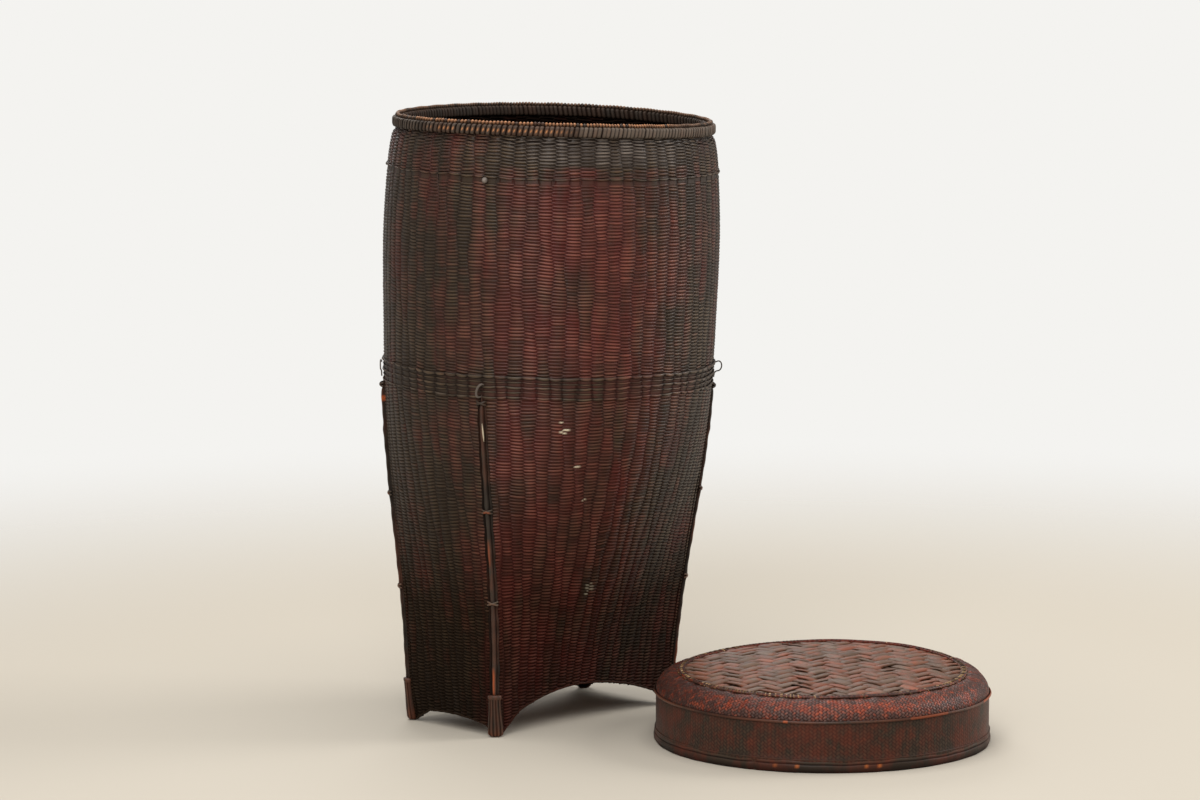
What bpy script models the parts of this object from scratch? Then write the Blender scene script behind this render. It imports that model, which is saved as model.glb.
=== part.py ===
# Tall storage basket with a lift-off lid, woven of split cane and lacquered dark red-brown.
# The foot of the basket is a rectangle on four short feet; the mouth is round.
# Metres, +Z up, +X along the long side of the rectangular foot. The floor is z = 0.

import math

import bmesh
import bpy
from mathutils import Vector

# Clearances
GAP = 0.0003  # between pieces that touch
FOOT_SEAT = 0.0006  # feet off the wall, which is flat between its corners
POST_SEAT = 0.0004
LID_FIT = 0.0005  # lid skirt over the rim, on the radius

# Woven wall, outer sizes
FOOT_LENGTH = 0.2198
FOOT_WIDTH = 0.1158
FOOT_ROUNDING = 0.012
ROUND_HEIGHT = 0.350  # where the rectangle has become a circle
ROUND_EASE = 2.0
FLARE = 0.0055  # quick widening just above the feet
FLARE_HEIGHT = 0.055
CORNER_SPREAD = math.radians(4.9)  # the corners move apart as the section gets round
TURN = math.radians(-7.7)  # and wander round
TURN_EASE = 1.25
WAIST_HEIGHT = 0.318
BELLY_RISE = 0.117  # belly above waist
SHOULDER_RISE = 0.065  # shoulder above belly
NECK_RISE = 0.0285  # neck above shoulder
WAIST_RADIUS = 0.1499
BELLY_RADIUS = 0.1522
SHOULDER_RADIUS = 0.1494
NECK_RADIUS = 0.1459
MOUTH_RADIUS = 0.1424  # wall inside the rim
WALL = 0.0020
FIRST_ROW = 0.0100  # first level row of the wall above the base

# Bottom edge of the wall
CORNER_LIFT = 0.0072
ARCH_HEIGHT = 0.0362  # long sides
ARCH_PEAK = 0.43  # place of the peak along the side
ARCH_POWER = 1.75
END_ARCH_HEIGHT = 0.0135  # short sides

# Woven base
BASE_ABOVE_ARCH = 0.0012
BASE_THICKNESS = 0.0030

# Rim
NECK_TO_RIM = 0.0080
RIM_HEIGHT = 0.0090
HOOP_THICKNESS = 0.0019
LASHING = 0.0007
TOP_CANE_RADIUS = 0.0015

# Bands twined round the wall
WAIST_ROW_HEIGHT = 0.0078
WAIST_ROW_THICKNESS = 0.0010
SHOULDER_BAND_HEIGHT = 0.0032
SHOULDER_BAND_THICKNESS = 0.0008

# Split-cane corner posts with their ties
POST_WIDTH = 0.0075
POST_THICKNESS = 0.0036
POST_TOP_BELOW_BAND = 0.0012
TIE_HEIGHT = 0.0035
TIE_THICKNESS = 0.0009
TIE_REACH = 0.0014  # beyond the post on each side
LOW_TIE_HEIGHT = 0.122
MIDDLE_TIE_HEIGHT = 0.205
TOP_TIE_BELOW_POST_TOP = 0.0070

# Feet
FOOT_HEIGHT = 0.0388
FOOT_COLLAR = 0.0034
FOOT_DEPTH = 0.0062
FOOT_NECK_DEPTH = 0.0048
FOOT_HALF_WIDTH = 0.0062
FOOT_NECK_HALF_WIDTH = 0.0058
COLLAR_RELIEF = 0.0007
FOOT_EDGE = 0.0016  # thickness at the foot's side edges
SOLE_ROUNDING = 0.0012

# Strap loops and shoulder pegs
LOOP_CANE_RADIUS = 0.00055
LOOP_REACH = 0.0090
LOOP_RISE = 0.0100
LOOP_FOOT_RISE = 0.0006
LOOP_TAIL_DROP = 0.0010
PEG_RADIUS = 0.0030
PEG_LENGTH = 0.0032

# Lid
LID_WALL = 0.0016
LID_SKIRT_HEIGHT = 0.0440
LID_HOOP_THICKNESS = 0.0011
LID_HEM_HEIGHT = 0.0080
LID_HEM_CANE_RADIUS = 0.0006
LID_RIDGE_HEIGHT = 0.0028
LID_SHOULDER_RISE = 0.0168
LID_SHOULDER_WIDTH = 0.0210
LID_SHOULDER_THICKNESS = 0.0018
LID_PANEL_THICKNESS = 0.0020
LID_DOME = 0.0045
LID_CORD_RADIUS = 0.0016

# How the two pieces stand
LEAN_AT_RIM = 0.0128  # sideways shift of the basket's rim
MOUTH_DROP = 0.0081  # difference in height across the rim
RIM_SAG = 0.0030  # the rim dips on the two sides that the slope joins
LEAN_HEADING = math.radians(-44.0)
LID_DISTANCE = 0.2793
LID_HEADING = math.radians(-69.9)

# Fineness
STEP = math.radians(6.0)
LID_STEPS = 54
CORNER_STEP = math.radians(3.0)

COLLECTION = "lidded_basket"
LACQUER_RED = (0.115, 0.026, 0.020, 1.0)
SMOKED_BROWN = (0.060, 0.030, 0.018, 1.0)
CANE_BROWN = (0.110, 0.045, 0.020, 1.0)
PALE_CANE = (0.240, 0.130, 0.060, 1.0)


# Heights and radii that follow from the sizes above

belly_height = WAIST_HEIGHT + BELLY_RISE
shoulder_height = belly_height + SHOULDER_RISE
neck_height = shoulder_height + NECK_RISE
rim_bottom = neck_height + NECK_TO_RIM
rim_top = rim_bottom + RIM_HEIGHT
wall_top = rim_top - LASHING - 2.0 * GAP
mouth_height = rim_bottom - WALL  # the wall stands upright from here to its top
arch_top = ARCH_HEIGHT
base_bottom = ARCH_HEIGHT + BASE_ABOVE_ARCH
upper_row_bottom = WAIST_HEIGHT + 0.5 * GAP
upper_row_top = upper_row_bottom + WAIST_ROW_HEIGHT
lower_row_top = WAIST_HEIGHT - 0.5 * GAP
lower_row_bottom = lower_row_top - WAIST_ROW_HEIGHT
wall_seam = 0.5 * (upper_row_bottom + upper_row_top)  # the wall's two courses meet behind the upper row
band_bottom = shoulder_height - 0.5 * SHOULDER_BAND_HEIGHT
band_top = shoulder_height + 0.5 * SHOULDER_BAND_HEIGHT
post_top = lower_row_bottom - POST_TOP_BELOW_BAND
post_bottom = FOOT_HEIGHT + GAP
outer_hoop_inside = MOUTH_RADIUS + GAP
outer_hoop_outside = outer_hoop_inside + HOOP_THICKNESS
rim_outside = outer_hoop_outside + GAP + LASHING
inner_hoop_outside = MOUTH_RADIUS - WALL - GAP
inner_hoop_inside = inner_hoop_outside - HOOP_THICKNESS
rim_inside = inner_hoop_inside - GAP - LASHING
mouth_slope = MOUTH_DROP / (2.0 * rim_outside)
skirt_inside = rim_outside + LID_FIT
skirt_outside = skirt_inside + LID_WALL
hoop_outside = skirt_outside + GAP + LID_HOOP_THICKNESS

long_side_corner = (
    0.5 * FOOT_LENGTH - FOOT_ROUNDING * (1.0 - math.sqrt(0.5)),
    0.5 * FOOT_WIDTH - FOOT_ROUNDING * (1.0 - math.sqrt(0.5)),
)
corner_azimuth = math.atan2(long_side_corner[1], long_side_corner[0])
corners = {
    "back": corner_azimuth,
    "left": math.pi - corner_azimuth,
    "front": math.pi + corner_azimuth,
    "right": 2.0 * math.pi - corner_azimuth,
}


def smooth_through(knots, x):
    """Cubic curve through (place, value) pairs, flat before the first and straight after the last."""
    if x <= knots[0][0]:
        return knots[0][1]
    if x >= knots[-1][0]:
        return knots[-1][1]
    slopes = [0.0]
    for (x0, y0), (x2, y2) in zip(knots, knots[2:]):
        slopes.append((y2 - y0) / (x2 - x0))
    slopes.append((knots[-1][1] - knots[-2][1]) / (knots[-1][0] - knots[-2][0]))
    index = max(i for i, (place, _) in enumerate(knots[:-1]) if place <= x)
    (x0, y0), (x1, y1) = knots[index], knots[index + 1]
    width = x1 - x0
    t = (x - x0) / width
    return (
        (2 * t**3 - 3 * t**2 + 1) * y0
        + (t**3 - 2 * t**2 + t) * width * slopes[index]
        + (3 * t**2 - 2 * t**3) * y1
        + (t**3 - t**2) * width * slopes[index + 1]
    )


def round_radius(height):
    knots = [
        (WAIST_HEIGHT, WAIST_RADIUS),
        (belly_height, BELLY_RADIUS),
        (shoulder_height, SHOULDER_RADIUS),
        (neck_height, NECK_RADIUS),
        (mouth_height, MOUTH_RADIUS),
    ]
    return smooth_through(knots, height)


def foot_radius(azimuth):
    """Distance from the axis to the rounded rectangle of the foot."""
    half_length = 0.5 * FOOT_LENGTH
    half_width = 0.5 * FOOT_WIDTH
    across = abs(math.cos(azimuth))
    along = abs(math.sin(azimuth))
    if half_length * along <= (half_width - FOOT_ROUNDING) * across:
        return half_length / across
    if half_width * across <= (half_length - FOOT_ROUNDING) * along:
        return half_width / along
    centre_x = half_length - FOOT_ROUNDING
    centre_y = half_width - FOOT_ROUNDING
    middle = centre_x * across + centre_y * along
    rest = centre_x**2 + centre_y**2 - FOOT_ROUNDING**2
    return middle + math.sqrt(middle**2 - rest)


def roundness(height):
    share = min(max(height / ROUND_HEIGHT, 0.0), 1.0)
    return math.sin(0.5 * math.pi * share) ** ROUND_EASE


def heading(azimuth, height):
    """Where a stake that starts at this azimuth on the foot has got to."""
    share = roundness(height)
    return azimuth + CORNER_SPREAD * share * math.sin(2.0 * azimuth) + TURN * share**TURN_EASE


def on_circle(azimuth, radius, height):
    place = heading(azimuth, height)
    share = min(max((height - shoulder_height) / (rim_bottom - shoulder_height), 0.0), 1.0)
    sag = RIM_SAG * share * math.cos(place - LEAN_HEADING) ** 2
    return Vector((radius * math.cos(place), radius * math.sin(place), height - sag))


def section_point(azimuth, height):
    """Point of the wall's outer surface."""
    share = roundness(height)
    flare = FLARE * math.sin(0.5 * math.pi * min(max(height / FLARE_HEIGHT, 0.0), 1.0))
    foot = foot_radius(azimuth) + flare
    return on_circle(azimuth, (1.0 - share) * foot + share * round_radius(height), height)


def section_normal(azimuth, height):
    nudge = math.radians(0.4)
    along = section_point(azimuth + nudge, height) - section_point(azimuth - nudge, height)
    return Vector((along.y, -along.x, 0.0)).normalized()


def wall_point(azimuth, height, outward=0.0):
    return section_point(azimuth, height) + outward * section_normal(azimuth, height)


def ring_azimuths():
    """Even steps with a corner on each side of the axes, and finer ones beside the corners."""
    count = round(math.tau / STEP)
    places = [STEP * (index + 0.5) for index in range(count)]
    nearest = {name: min(places, key=lambda p: abs(p - a)) for name, a in corners.items()}
    for name, place in nearest.items():
        places[places.index(place)] = corners[name]
        places.append(corners[name] - CORNER_STEP)
        places.append(corners[name] + CORNER_STEP)
    return sorted(places)


def hem_height(azimuth):
    """Bottom edge of the wall: an arch on each long side, a low one on each short side."""
    azimuth = azimuth % math.tau
    low, high = corners["back"], corners["left"]
    half_turn = azimuth if azimuth < math.pi else azimuth - math.pi
    if low <= half_turn <= high:
        radius = foot_radius(azimuth)
        share = 0.5 - 0.5 * radius * math.cos(half_turn) / long_side_corner[0]
        share = min(max(share, 0.0), 1.0)
        place = share - ARCH_PEAK
        reach = ARCH_PEAK if place < 0.0 else 1.0 - ARCH_PEAK
        return ARCH_HEIGHT - (ARCH_HEIGHT - CORNER_LIFT) * abs(place / reach) ** ARCH_POWER
    radius = foot_radius(azimuth)
    share = min(abs(radius * math.sin(azimuth)) / long_side_corner[1], 1.0)
    return END_ARCH_HEIGHT - (END_ARCH_HEIGHT - CORNER_LIFT) * share**2


# Scene helpers

def clear_scene():
    for old in list(bpy.data.objects):
        bpy.data.objects.remove(old, do_unlink=True)


def make_collection(name):
    collection = bpy.data.collections.new(name)
    bpy.context.scene.collection.children.link(collection)
    return collection


def make_material(name, colour, roughness):
    material = bpy.data.materials.new(name)
    material.use_nodes = True
    shader = material.node_tree.nodes["Principled BSDF"]
    shader.inputs["Base Color"].default_value = colour
    shader.inputs["Roughness"].default_value = roughness
    shader.inputs["Metallic"].default_value = 0.0
    material.diffuse_color = colour
    return material


def add_object(name, data, stand, colour, roughness=0.5):
    obj = bpy.data.objects.new(name, data)
    parts.objects.link(obj)
    obj.parent = stand
    data.materials.append(make_material(name, colour, roughness))
    return obj


def smooth(mesh, degrees=40.0):
    mesh.shade_smooth()
    mesh.set_sharp_from_angle(angle=math.radians(degrees))


def lean(obj):
    """The basket stands a little out of true; the lattice carries every piece of it."""
    modifier = obj.modifiers.new("lean", "LATTICE")
    modifier.object = lean_lattice
    return obj


def loft(name, sections, ring=False):
    """Mesh through sections of equal point count; each section is a closed outline.
    With ring the last section joins the first, otherwise both ends are capped."""
    shape = bmesh.new()
    rows = [[shape.verts.new(point) for point in section] for section in sections]
    count = len(rows[0])
    pairs = list(zip(rows, rows[1:] + rows[:1])) if ring else list(zip(rows, rows[1:]))
    for low, high in pairs:
        for i in range(count):
            j = (i + 1) % count
            shape.faces.new((low[i], low[j], high[j], high[i]))
    if not ring:
        shape.faces.new(rows[0][::-1])
        shape.faces.new(rows[-1])
    bmesh.ops.recalc_face_normals(shape, faces=shape.faces)
    mesh = bpy.data.meshes.new(name)
    shape.to_mesh(mesh)
    shape.free()
    smooth(mesh)
    return mesh


def turned(name, profile, stand, colour, closed=True):
    """Turned piece: (radius, height) points that run down the outer side, then back up inside."""
    shape = bmesh.new()
    points = [shape.verts.new((radius, 0.0, height)) for radius, height in profile]
    pairs = list(zip(points, points[1:]))
    if closed:
        pairs.append((points[-1], points[0]))
    for a, b in pairs:
        shape.edges.new((a, b))
    mesh = bpy.data.meshes.new(name)
    shape.to_mesh(mesh)
    shape.free()
    obj = add_object(name, mesh, stand, colour)
    screw = obj.modifiers.new("turn", "SCREW")
    screw.steps = LID_STEPS
    screw.render_steps = LID_STEPS
    screw.use_merge_vertices = True
    screw.merge_threshold = 0.0001
    screw.use_smooth_shade = True
    return obj


def tube(name, points, radius, stand, colour, resolution=1):
    curve = bpy.data.curves.new(name, "CURVE")
    curve.dimensions = "3D"
    curve.bevel_depth = radius
    curve.bevel_resolution = resolution
    curve.use_fill_caps = True
    spline = curve.splines.new("POLY")
    spline.points.add(len(points) - 1)
    for target, point in zip(spline.points, points):
        target.co = (*point, 1.0)
    return add_object(name, curve, stand, colour)


def circle_profile(radius, height, thickness, sides=6):
    """Round section of a hoop, run so that a turned piece faces outwards."""
    turns = [math.pi / 2 - math.tau * i / sides for i in range(sides)]
    return [(radius + thickness * math.cos(t), height + thickness * math.sin(t)) for t in turns]


def box_profile(inside, outside, bottom, top):
    return [(outside, top), (outside, bottom), (inside, bottom), (inside, top)]


# Basket

def wall_rows():
    """Rows of the wall's outer surface, as (height or share above the hem) for its two courses."""
    first = base_bottom + BASE_THICKNESS + FIRST_ROW
    count = 6
    lower = [first + (lower_row_bottom - first) * i / count for i in range(count + 1)]
    lower += [WAIST_HEIGHT, wall_seam - 0.5 * GAP]
    count = 4
    upper = [wall_seam + 0.5 * GAP]
    upper += [upper_row_top + (band_bottom - upper_row_top) * i / count for i in range(count + 1)]
    upper += [band_top, neck_height, mouth_height, wall_top]
    return lower, upper


def make_course(name, rows, stand):
    """One course of the wall, from rows of points on its outer surface."""
    shape = bmesh.new()
    grid = [[shape.verts.new(point) for point in row] for row in rows]
    count = len(rows[0])
    for low, high in zip(grid, grid[1:]):
        for i in range(count):
            j = (i + 1) % count
            shape.faces.new((low[i], low[j], high[j], high[i]))
    bmesh.ops.recalc_face_normals(shape, faces=shape.faces)
    mesh = bpy.data.meshes.new(name)
    shape.to_mesh(mesh)
    shape.free()
    smooth(mesh)
    obj = add_object(name, mesh, stand, LACQUER_RED)
    shell = obj.modifiers.new("thickness", "SOLIDIFY")
    shell.thickness = WALL
    shell.offset = -1.0
    shell.use_even_offset = True
    lean(obj)


def make_wall(stand):
    azimuths = ring_azimuths()
    lower, upper = wall_rows()
    rows = []
    for share in (0.0, 0.33, 0.67):
        row = []
        for azimuth in azimuths:
            low = hem_height(azimuth)
            row.append(wall_point(azimuth, low + (lower[0] - low) * share))
        rows.append(row)
    rows += [[wall_point(azimuth, level) for azimuth in azimuths] for level in lower]
    make_course("wall_lower", rows, stand)
    rows = [[wall_point(azimuth, level) for azimuth in azimuths] for level in upper]
    make_course("wall_upper", rows, stand)


def make_base(stand):
    inset = -(WALL + GAP)
    low = [wall_point(a, base_bottom, inset) for a in ring_azimuths()]
    high = [point + Vector((0.0, 0.0, BASE_THICKNESS)) for point in low]
    lean(add_object("base_mat", loft("base_mat", [low, high]), stand, SMOKED_BROWN))


def make_band(name, stand, bottom, top, thickness):
    sections = []
    for azimuth in ring_azimuths():
        inner, outer = GAP, GAP + thickness
        sections.append(
            [
                wall_point(azimuth, bottom, inner),
                wall_point(azimuth, bottom, outer),
                wall_point(azimuth, top, outer),
                wall_point(azimuth, top, inner),
            ]
        )
    lean(add_object(name, loft(name, sections, ring=True), stand, SMOKED_BROWN))


def make_hoop(name, profile, stand, colour):
    """Round hoop with its corners at the wall's own places, so that the gap stays even."""
    sections = []
    for azimuth in ring_azimuths():
        sections.append([on_circle(azimuth, radius, height) for radius, height in profile])
    lean(add_object(name, loft(name, sections, ring=True), stand, colour))


def make_rim(stand):
    hoop_bottom = rim_bottom + GAP
    hoop_top = wall_top
    cap = rim_top - LASHING
    outer = box_profile(outer_hoop_inside, outer_hoop_outside, hoop_bottom, hoop_top)
    inner = box_profile(inner_hoop_inside, inner_hoop_outside, hoop_bottom, hoop_top)
    lashing = [
        (rim_outside - LASHING, rim_top),
        (rim_outside, rim_top - LASHING),
        (rim_outside, rim_bottom),
        (rim_outside - LASHING, rim_bottom),
        (rim_outside - LASHING, cap),
        (rim_inside + LASHING, cap),
        (rim_inside + LASHING, rim_bottom),
        (rim_inside, rim_bottom),
        (rim_inside, rim_top - LASHING),
        (rim_inside + LASHING, rim_top),
    ]
    middle = 0.5 * (rim_outside + rim_inside)
    top_cane = circle_profile(middle, rim_top + GAP + TOP_CANE_RADIUS, TOP_CANE_RADIUS)
    make_hoop("rim_outer_hoop", outer, stand, CANE_BROWN)
    make_hoop("rim_inner_hoop", inner, stand, CANE_BROWN)
    make_hoop("rim_lashing", lashing, stand, CANE_BROWN)
    make_hoop("rim_top_cane", top_cane, stand, PALE_CANE)


def post_frame(azimuth, height):
    """Foot of the outward normal on the wall, that normal, and the direction along the wall."""
    point = wall_point(azimuth, height, POST_SEAT)
    normal = section_normal(azimuth, height)
    return point, normal, Vector((-normal.y, normal.x, 0.0))


def post_outline(azimuth, height, grow=0.0):
    """Flat-backed half-round section of a split cane."""
    point, normal, along = post_frame(azimuth, height)
    half, deep = 0.5 * POST_WIDTH + grow, POST_THICKNESS + grow
    shape = [(-1.0, 0.0), (1.0, 0.0), (0.97, 0.42), (0.62, 0.84), (0.0, 1.0), (-0.62, 0.84), (-0.97, 0.42)]
    return [point + half * a * along + deep * b * normal for a, b in shape]


def make_post(name, azimuth, stand):
    count = 10
    levels = [post_bottom + (post_top - post_bottom) * i / (count - 1) for i in range(count)]
    sections = [post_outline(azimuth, level) for level in levels]
    lean(add_object(name, loft(name, sections), stand, CANE_BROWN))


def beside_corner(azimuth, height, distance, outward):
    """Point on the wall at a distance along it from a corner."""
    sign = 1.0 if distance >= 0.0 else -1.0
    nudge = sign * math.radians(0.25)
    walked = 0.0
    place = azimuth
    here = section_point(place, height)
    while walked < abs(distance):
        there = section_point(place + nudge, height)
        walked += (there - here).length
        here = there
        place += nudge
    return wall_point(place, height, outward)


def make_tie(name, azimuth, height, stand):
    """Cane stitch over a post: it rises from the wall, crosses the post and goes back in."""
    sections = []
    bottom, top = height - 0.5 * TIE_HEIGHT, height + 0.5 * TIE_HEIGHT
    reach = 0.5 * POST_WIDTH + TIE_REACH
    seats = {}
    for level in (bottom, top):
        inner = post_outline(azimuth, level, GAP)[2:]
        outer = post_outline(azimuth, level, GAP + TIE_THICKNESS)[2:]
        right = beside_corner(azimuth, level, reach, GAP)
        left = beside_corner(azimuth, level, -reach, GAP)
        normal = section_normal(azimuth, level)
        along = Vector((-normal.y, normal.x, 0.0))
        inner = [right - TIE_THICKNESS * along] + inner + [left + TIE_THICKNESS * along]
        outer = [right] + outer + [left]
        seats[level] = (inner, outer)
    for i in range(len(seats[bottom][0])):
        low_in, low_out = seats[bottom][0][i], seats[bottom][1][i]
        high_in, high_out = seats[top][0][i], seats[top][1][i]
        sections.append([low_in, low_out, high_out, high_in])
    lean(add_object(name, loft(name, sections), stand, PALE_CANE))


def make_foot(name, azimuth, stand):
    """Split-cane foot that hugs the corner of the wall, with a collar on top."""
    collar_bottom = FOOT_HEIGHT - FOOT_COLLAR
    relief = COLLAR_RELIEF
    wide, narrow = FOOT_HALF_WIDTH, FOOT_NECK_HALF_WIDTH
    deep, shallow = FOOT_DEPTH, FOOT_NECK_DEPTH
    rows = [
        (0.0, wide - SOLE_ROUNDING, deep - SOLE_ROUNDING),
        (SOLE_ROUNDING, wide, deep),
        (0.3 * FOOT_HEIGHT, wide, deep),
        (0.6 * FOOT_HEIGHT, narrow, shallow),
        (collar_bottom - relief, narrow, shallow),
        (collar_bottom, narrow + relief, shallow + relief),
        (FOOT_HEIGHT - relief, narrow + relief, shallow + relief),
        (FOOT_HEIGHT, narrow, shallow),
    ]
    sections = []
    for height, half, depth in rows:
        one_side = [(0.55 * half, 0.90 * depth), (0.88 * half, 0.60 * depth), (half, FOOT_EDGE)]
        spots = [(-s, d) for s, d in reversed(one_side)] + [(0.0, depth)] + one_side
        outer = [beside_corner(azimuth, height, s, FOOT_SEAT + d) for s, d in spots]
        inner = [beside_corner(azimuth, height, s, FOOT_SEAT) for s, _ in reversed(spots)]
        sections.append(outer + inner)
    lean(add_object(name, loft(name, sections), stand, SMOKED_BROWN))


def make_loop(name, azimuth, stand):
    """Eye of thin cane: it comes out at the upper band and runs down to the top of the post."""
    seat = 2.0 * GAP + WAIST_ROW_THICKNESS + LOOP_CANE_RADIUS
    far = LOOP_REACH - LOOP_CANE_RADIUS
    low = WAIST_HEIGHT - 0.5 * WAIST_ROW_HEIGHT
    middle = low + 0.55 * LOOP_RISE
    route = [(seat, low + LOOP_RISE - 2.0 * LOOP_CANE_RADIUS)]
    count = 12
    for i in range(count + 1):
        t = math.pi * (0.62 - 1.12 * i / count)
        across = 0.5 * (seat + far) + 0.5 * (far - seat) * math.cos(t)
        route.append((across, middle + 0.45 * LOOP_RISE * math.sin(t)))
    route.append((seat + 0.25 * (far - seat), low + LOOP_FOOT_RISE))
    route.append((seat, low - LOOP_TAIL_DROP))
    route.append((seat, post_top + GAP))
    points = [wall_point(azimuth, height, outward) for outward, height in route]
    lean(tube(name, points, LOOP_CANE_RADIUS, stand, PALE_CANE))


def make_peg(name, azimuth, stand):
    """Head of a cane peg knotted on the shoulder band."""
    seat = 2.0 * GAP + SHOULDER_BAND_THICKNESS
    point, normal, along = post_frame(azimuth, shoulder_height)
    up = Vector((0.0, 0.0, 1.0))
    sections = []
    for depth, share in ((0.0, 0.70), (0.25, 0.98), (0.55, 1.0), (0.85, 0.70), (1.0, 0.25)):
        centre = point + (seat - GAP + depth * PEG_LENGTH) * normal
        ring = []
        for i in range(8):
            t = math.tau * i / 8
            ring.append(centre + PEG_RADIUS * share * (math.cos(t) * along + math.sin(t) * up))
        sections.append(ring)
    lean(add_object(name, loft(name, sections), stand, PALE_CANE))


def make_basket(stand):
    make_wall(stand)
    make_base(stand)
    make_rim(stand)
    make_band("shoulder_band", stand, band_bottom, band_top, SHOULDER_BAND_THICKNESS)
    make_band("waist_band_upper", stand, upper_row_bottom, upper_row_top, WAIST_ROW_THICKNESS)
    make_band("waist_band_lower", stand, lower_row_bottom, lower_row_top, WAIST_ROW_THICKNESS)
    tie_heights = {
        "low": LOW_TIE_HEIGHT,
        "middle": MIDDLE_TIE_HEIGHT,
        "top": post_top - TOP_TIE_BELOW_POST_TOP,
    }
    for corner, azimuth in corners.items():
        make_post(f"corner_post_{corner}", azimuth, stand)
        for place, height in tie_heights.items():
            make_tie(f"post_tie_{corner}_{place}", azimuth, height, stand)
        make_foot(f"foot_{corner}", azimuth, stand)
        make_loop(f"strap_loop_{corner}", azimuth, stand)
        make_peg(f"shoulder_peg_{corner}", azimuth, stand)


# Lid

def make_lid(stand):
    hem_top = LID_HEM_HEIGHT
    skirt = box_profile(skirt_inside, skirt_outside, 0.0, LID_SKIRT_HEIGHT)
    hem = box_profile(skirt_outside + GAP, hoop_outside, 0.0, hem_top)
    ridge_bottom = LID_SKIRT_HEIGHT - 0.5 * LID_RIDGE_HEIGHT
    ridge = box_profile(
        skirt_outside + GAP, hoop_outside, ridge_bottom, ridge_bottom + LID_RIDGE_HEIGHT
    )
    hem_cane_radius = skirt_outside + GAP + LID_HEM_CANE_RADIUS
    hem_cane = circle_profile(
        hem_cane_radius, hem_top + GAP + LID_HEM_CANE_RADIUS, LID_HEM_CANE_RADIUS
    )
    shoulder_bottom = LID_SKIRT_HEIGHT + GAP
    shoulder_inside = skirt_outside - LID_SHOULDER_WIDTH
    outer, inner = [], []
    count = 4
    for i in range(count + 1):
        t = 0.5 * math.pi * i / count
        wide = LID_SHOULDER_WIDTH
        rise = LID_SHOULDER_RISE
        outer.append((shoulder_inside + wide * math.cos(t) ** 0.9, shoulder_bottom + rise * math.sin(t)))
        thin = LID_SHOULDER_THICKNESS
        inner.append(
            (
                shoulder_inside + max(wide - thin, thin) * math.cos(t) ** 0.9,
                shoulder_bottom + (rise - thin) * math.sin(t),
            )
        )
    shoulder = outer[::-1] + inner
    panel_radius = shoulder_inside - GAP
    panel_top = shoulder_bottom + LID_SHOULDER_RISE
    top_side, under_side = [], []
    count = 3
    for i in range(count + 1):
        share = i / count
        lift = LID_DOME * (1.0 - share**2)
        top_side.append((panel_radius * share, panel_top + lift))
        under_side.append((panel_radius * share, panel_top + lift - LID_PANEL_THICKNESS))
    panel = top_side + under_side[::-1]
    cord = circle_profile(shoulder_inside, panel_top + GAP + LID_CORD_RADIUS, LID_CORD_RADIUS)
    turned("lid_skirt", skirt, stand, LACQUER_RED)
    turned("lid_hem_hoop", hem, stand, CANE_BROWN)
    turned("lid_hem_cane", hem_cane, stand, CANE_BROWN)
    turned("lid_ridge_hoop", ridge, stand, CANE_BROWN)
    turned("lid_shoulder", shoulder, stand, LACQUER_RED)
    turned("lid_top_panel", panel, stand, SMOKED_BROWN, closed=False)
    turned("lid_border_cord", cord, stand, PALE_CANE)


# Where the two pieces stand: the frame's origin is the centre of the row's footprint

def row_centre():
    lid = Vector((math.cos(LID_HEADING), math.sin(LID_HEADING))) * LID_DISTANCE
    slope = LEAN_AT_RIM / rim_top
    shift = Vector((math.cos(LEAN_HEADING), math.sin(LEAN_HEADING))) * slope * belly_height
    centre = []
    for axis in range(2):
        low = min(shift[axis] - BELLY_RADIUS, lid[axis] - hoop_outside)
        high = max(shift[axis] + BELLY_RADIUS, lid[axis] + hoop_outside)
        centre.append(0.5 * (low + high))
    return Vector(centre), lid


def make_stand(name, place):
    stand = bpy.data.objects.new(name, None)
    stand.location = (place.x, place.y, 0.0)
    parts.objects.link(stand)
    return stand


def make_lattice(place):
    """Two layers of points: the lower stays on the floor, the upper is shifted and tilted."""
    side = 1.1 * rim_top
    data = bpy.data.lattices.new("lean_guide")
    data.points_u = data.points_v = data.points_w = 2
    data.interpolation_type_u = "KEY_LINEAR"
    data.interpolation_type_v = "KEY_LINEAR"
    data.interpolation_type_w = "KEY_LINEAR"
    obj = bpy.data.objects.new("lean_guide", data)
    guides.objects.link(obj)
    obj.location = (place.x, place.y, 0.5 * side)
    obj.scale = (side, side, side)
    obj.hide_render = True
    obj.display_type = "WIRE"
    heading = Vector((math.cos(LEAN_HEADING), math.sin(LEAN_HEADING)))
    tilt = mouth_slope * side / rim_top
    for point in data.points:
        if point.co.z > 0.0:
            aside = heading.x * point.co.x + heading.y * point.co.y
            shift = heading * LEAN_AT_RIM / rim_top
            point.co_deform = (
                point.co.x + shift.x,
                point.co.y + shift.y,
                point.co.z - tilt * aside,
            )
    return obj


clear_scene()
parts = make_collection(COLLECTION)
guides = make_collection("guides")
origin, lid_place = row_centre()
basket_stand = make_stand("basket_stand", -origin)
lid_stand = make_stand("lid_stand", lid_place - origin)
lean_lattice = make_lattice(-origin)
bpy.context.view_layer.update()
make_basket(basket_stand)
make_lid(lid_stand)
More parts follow.
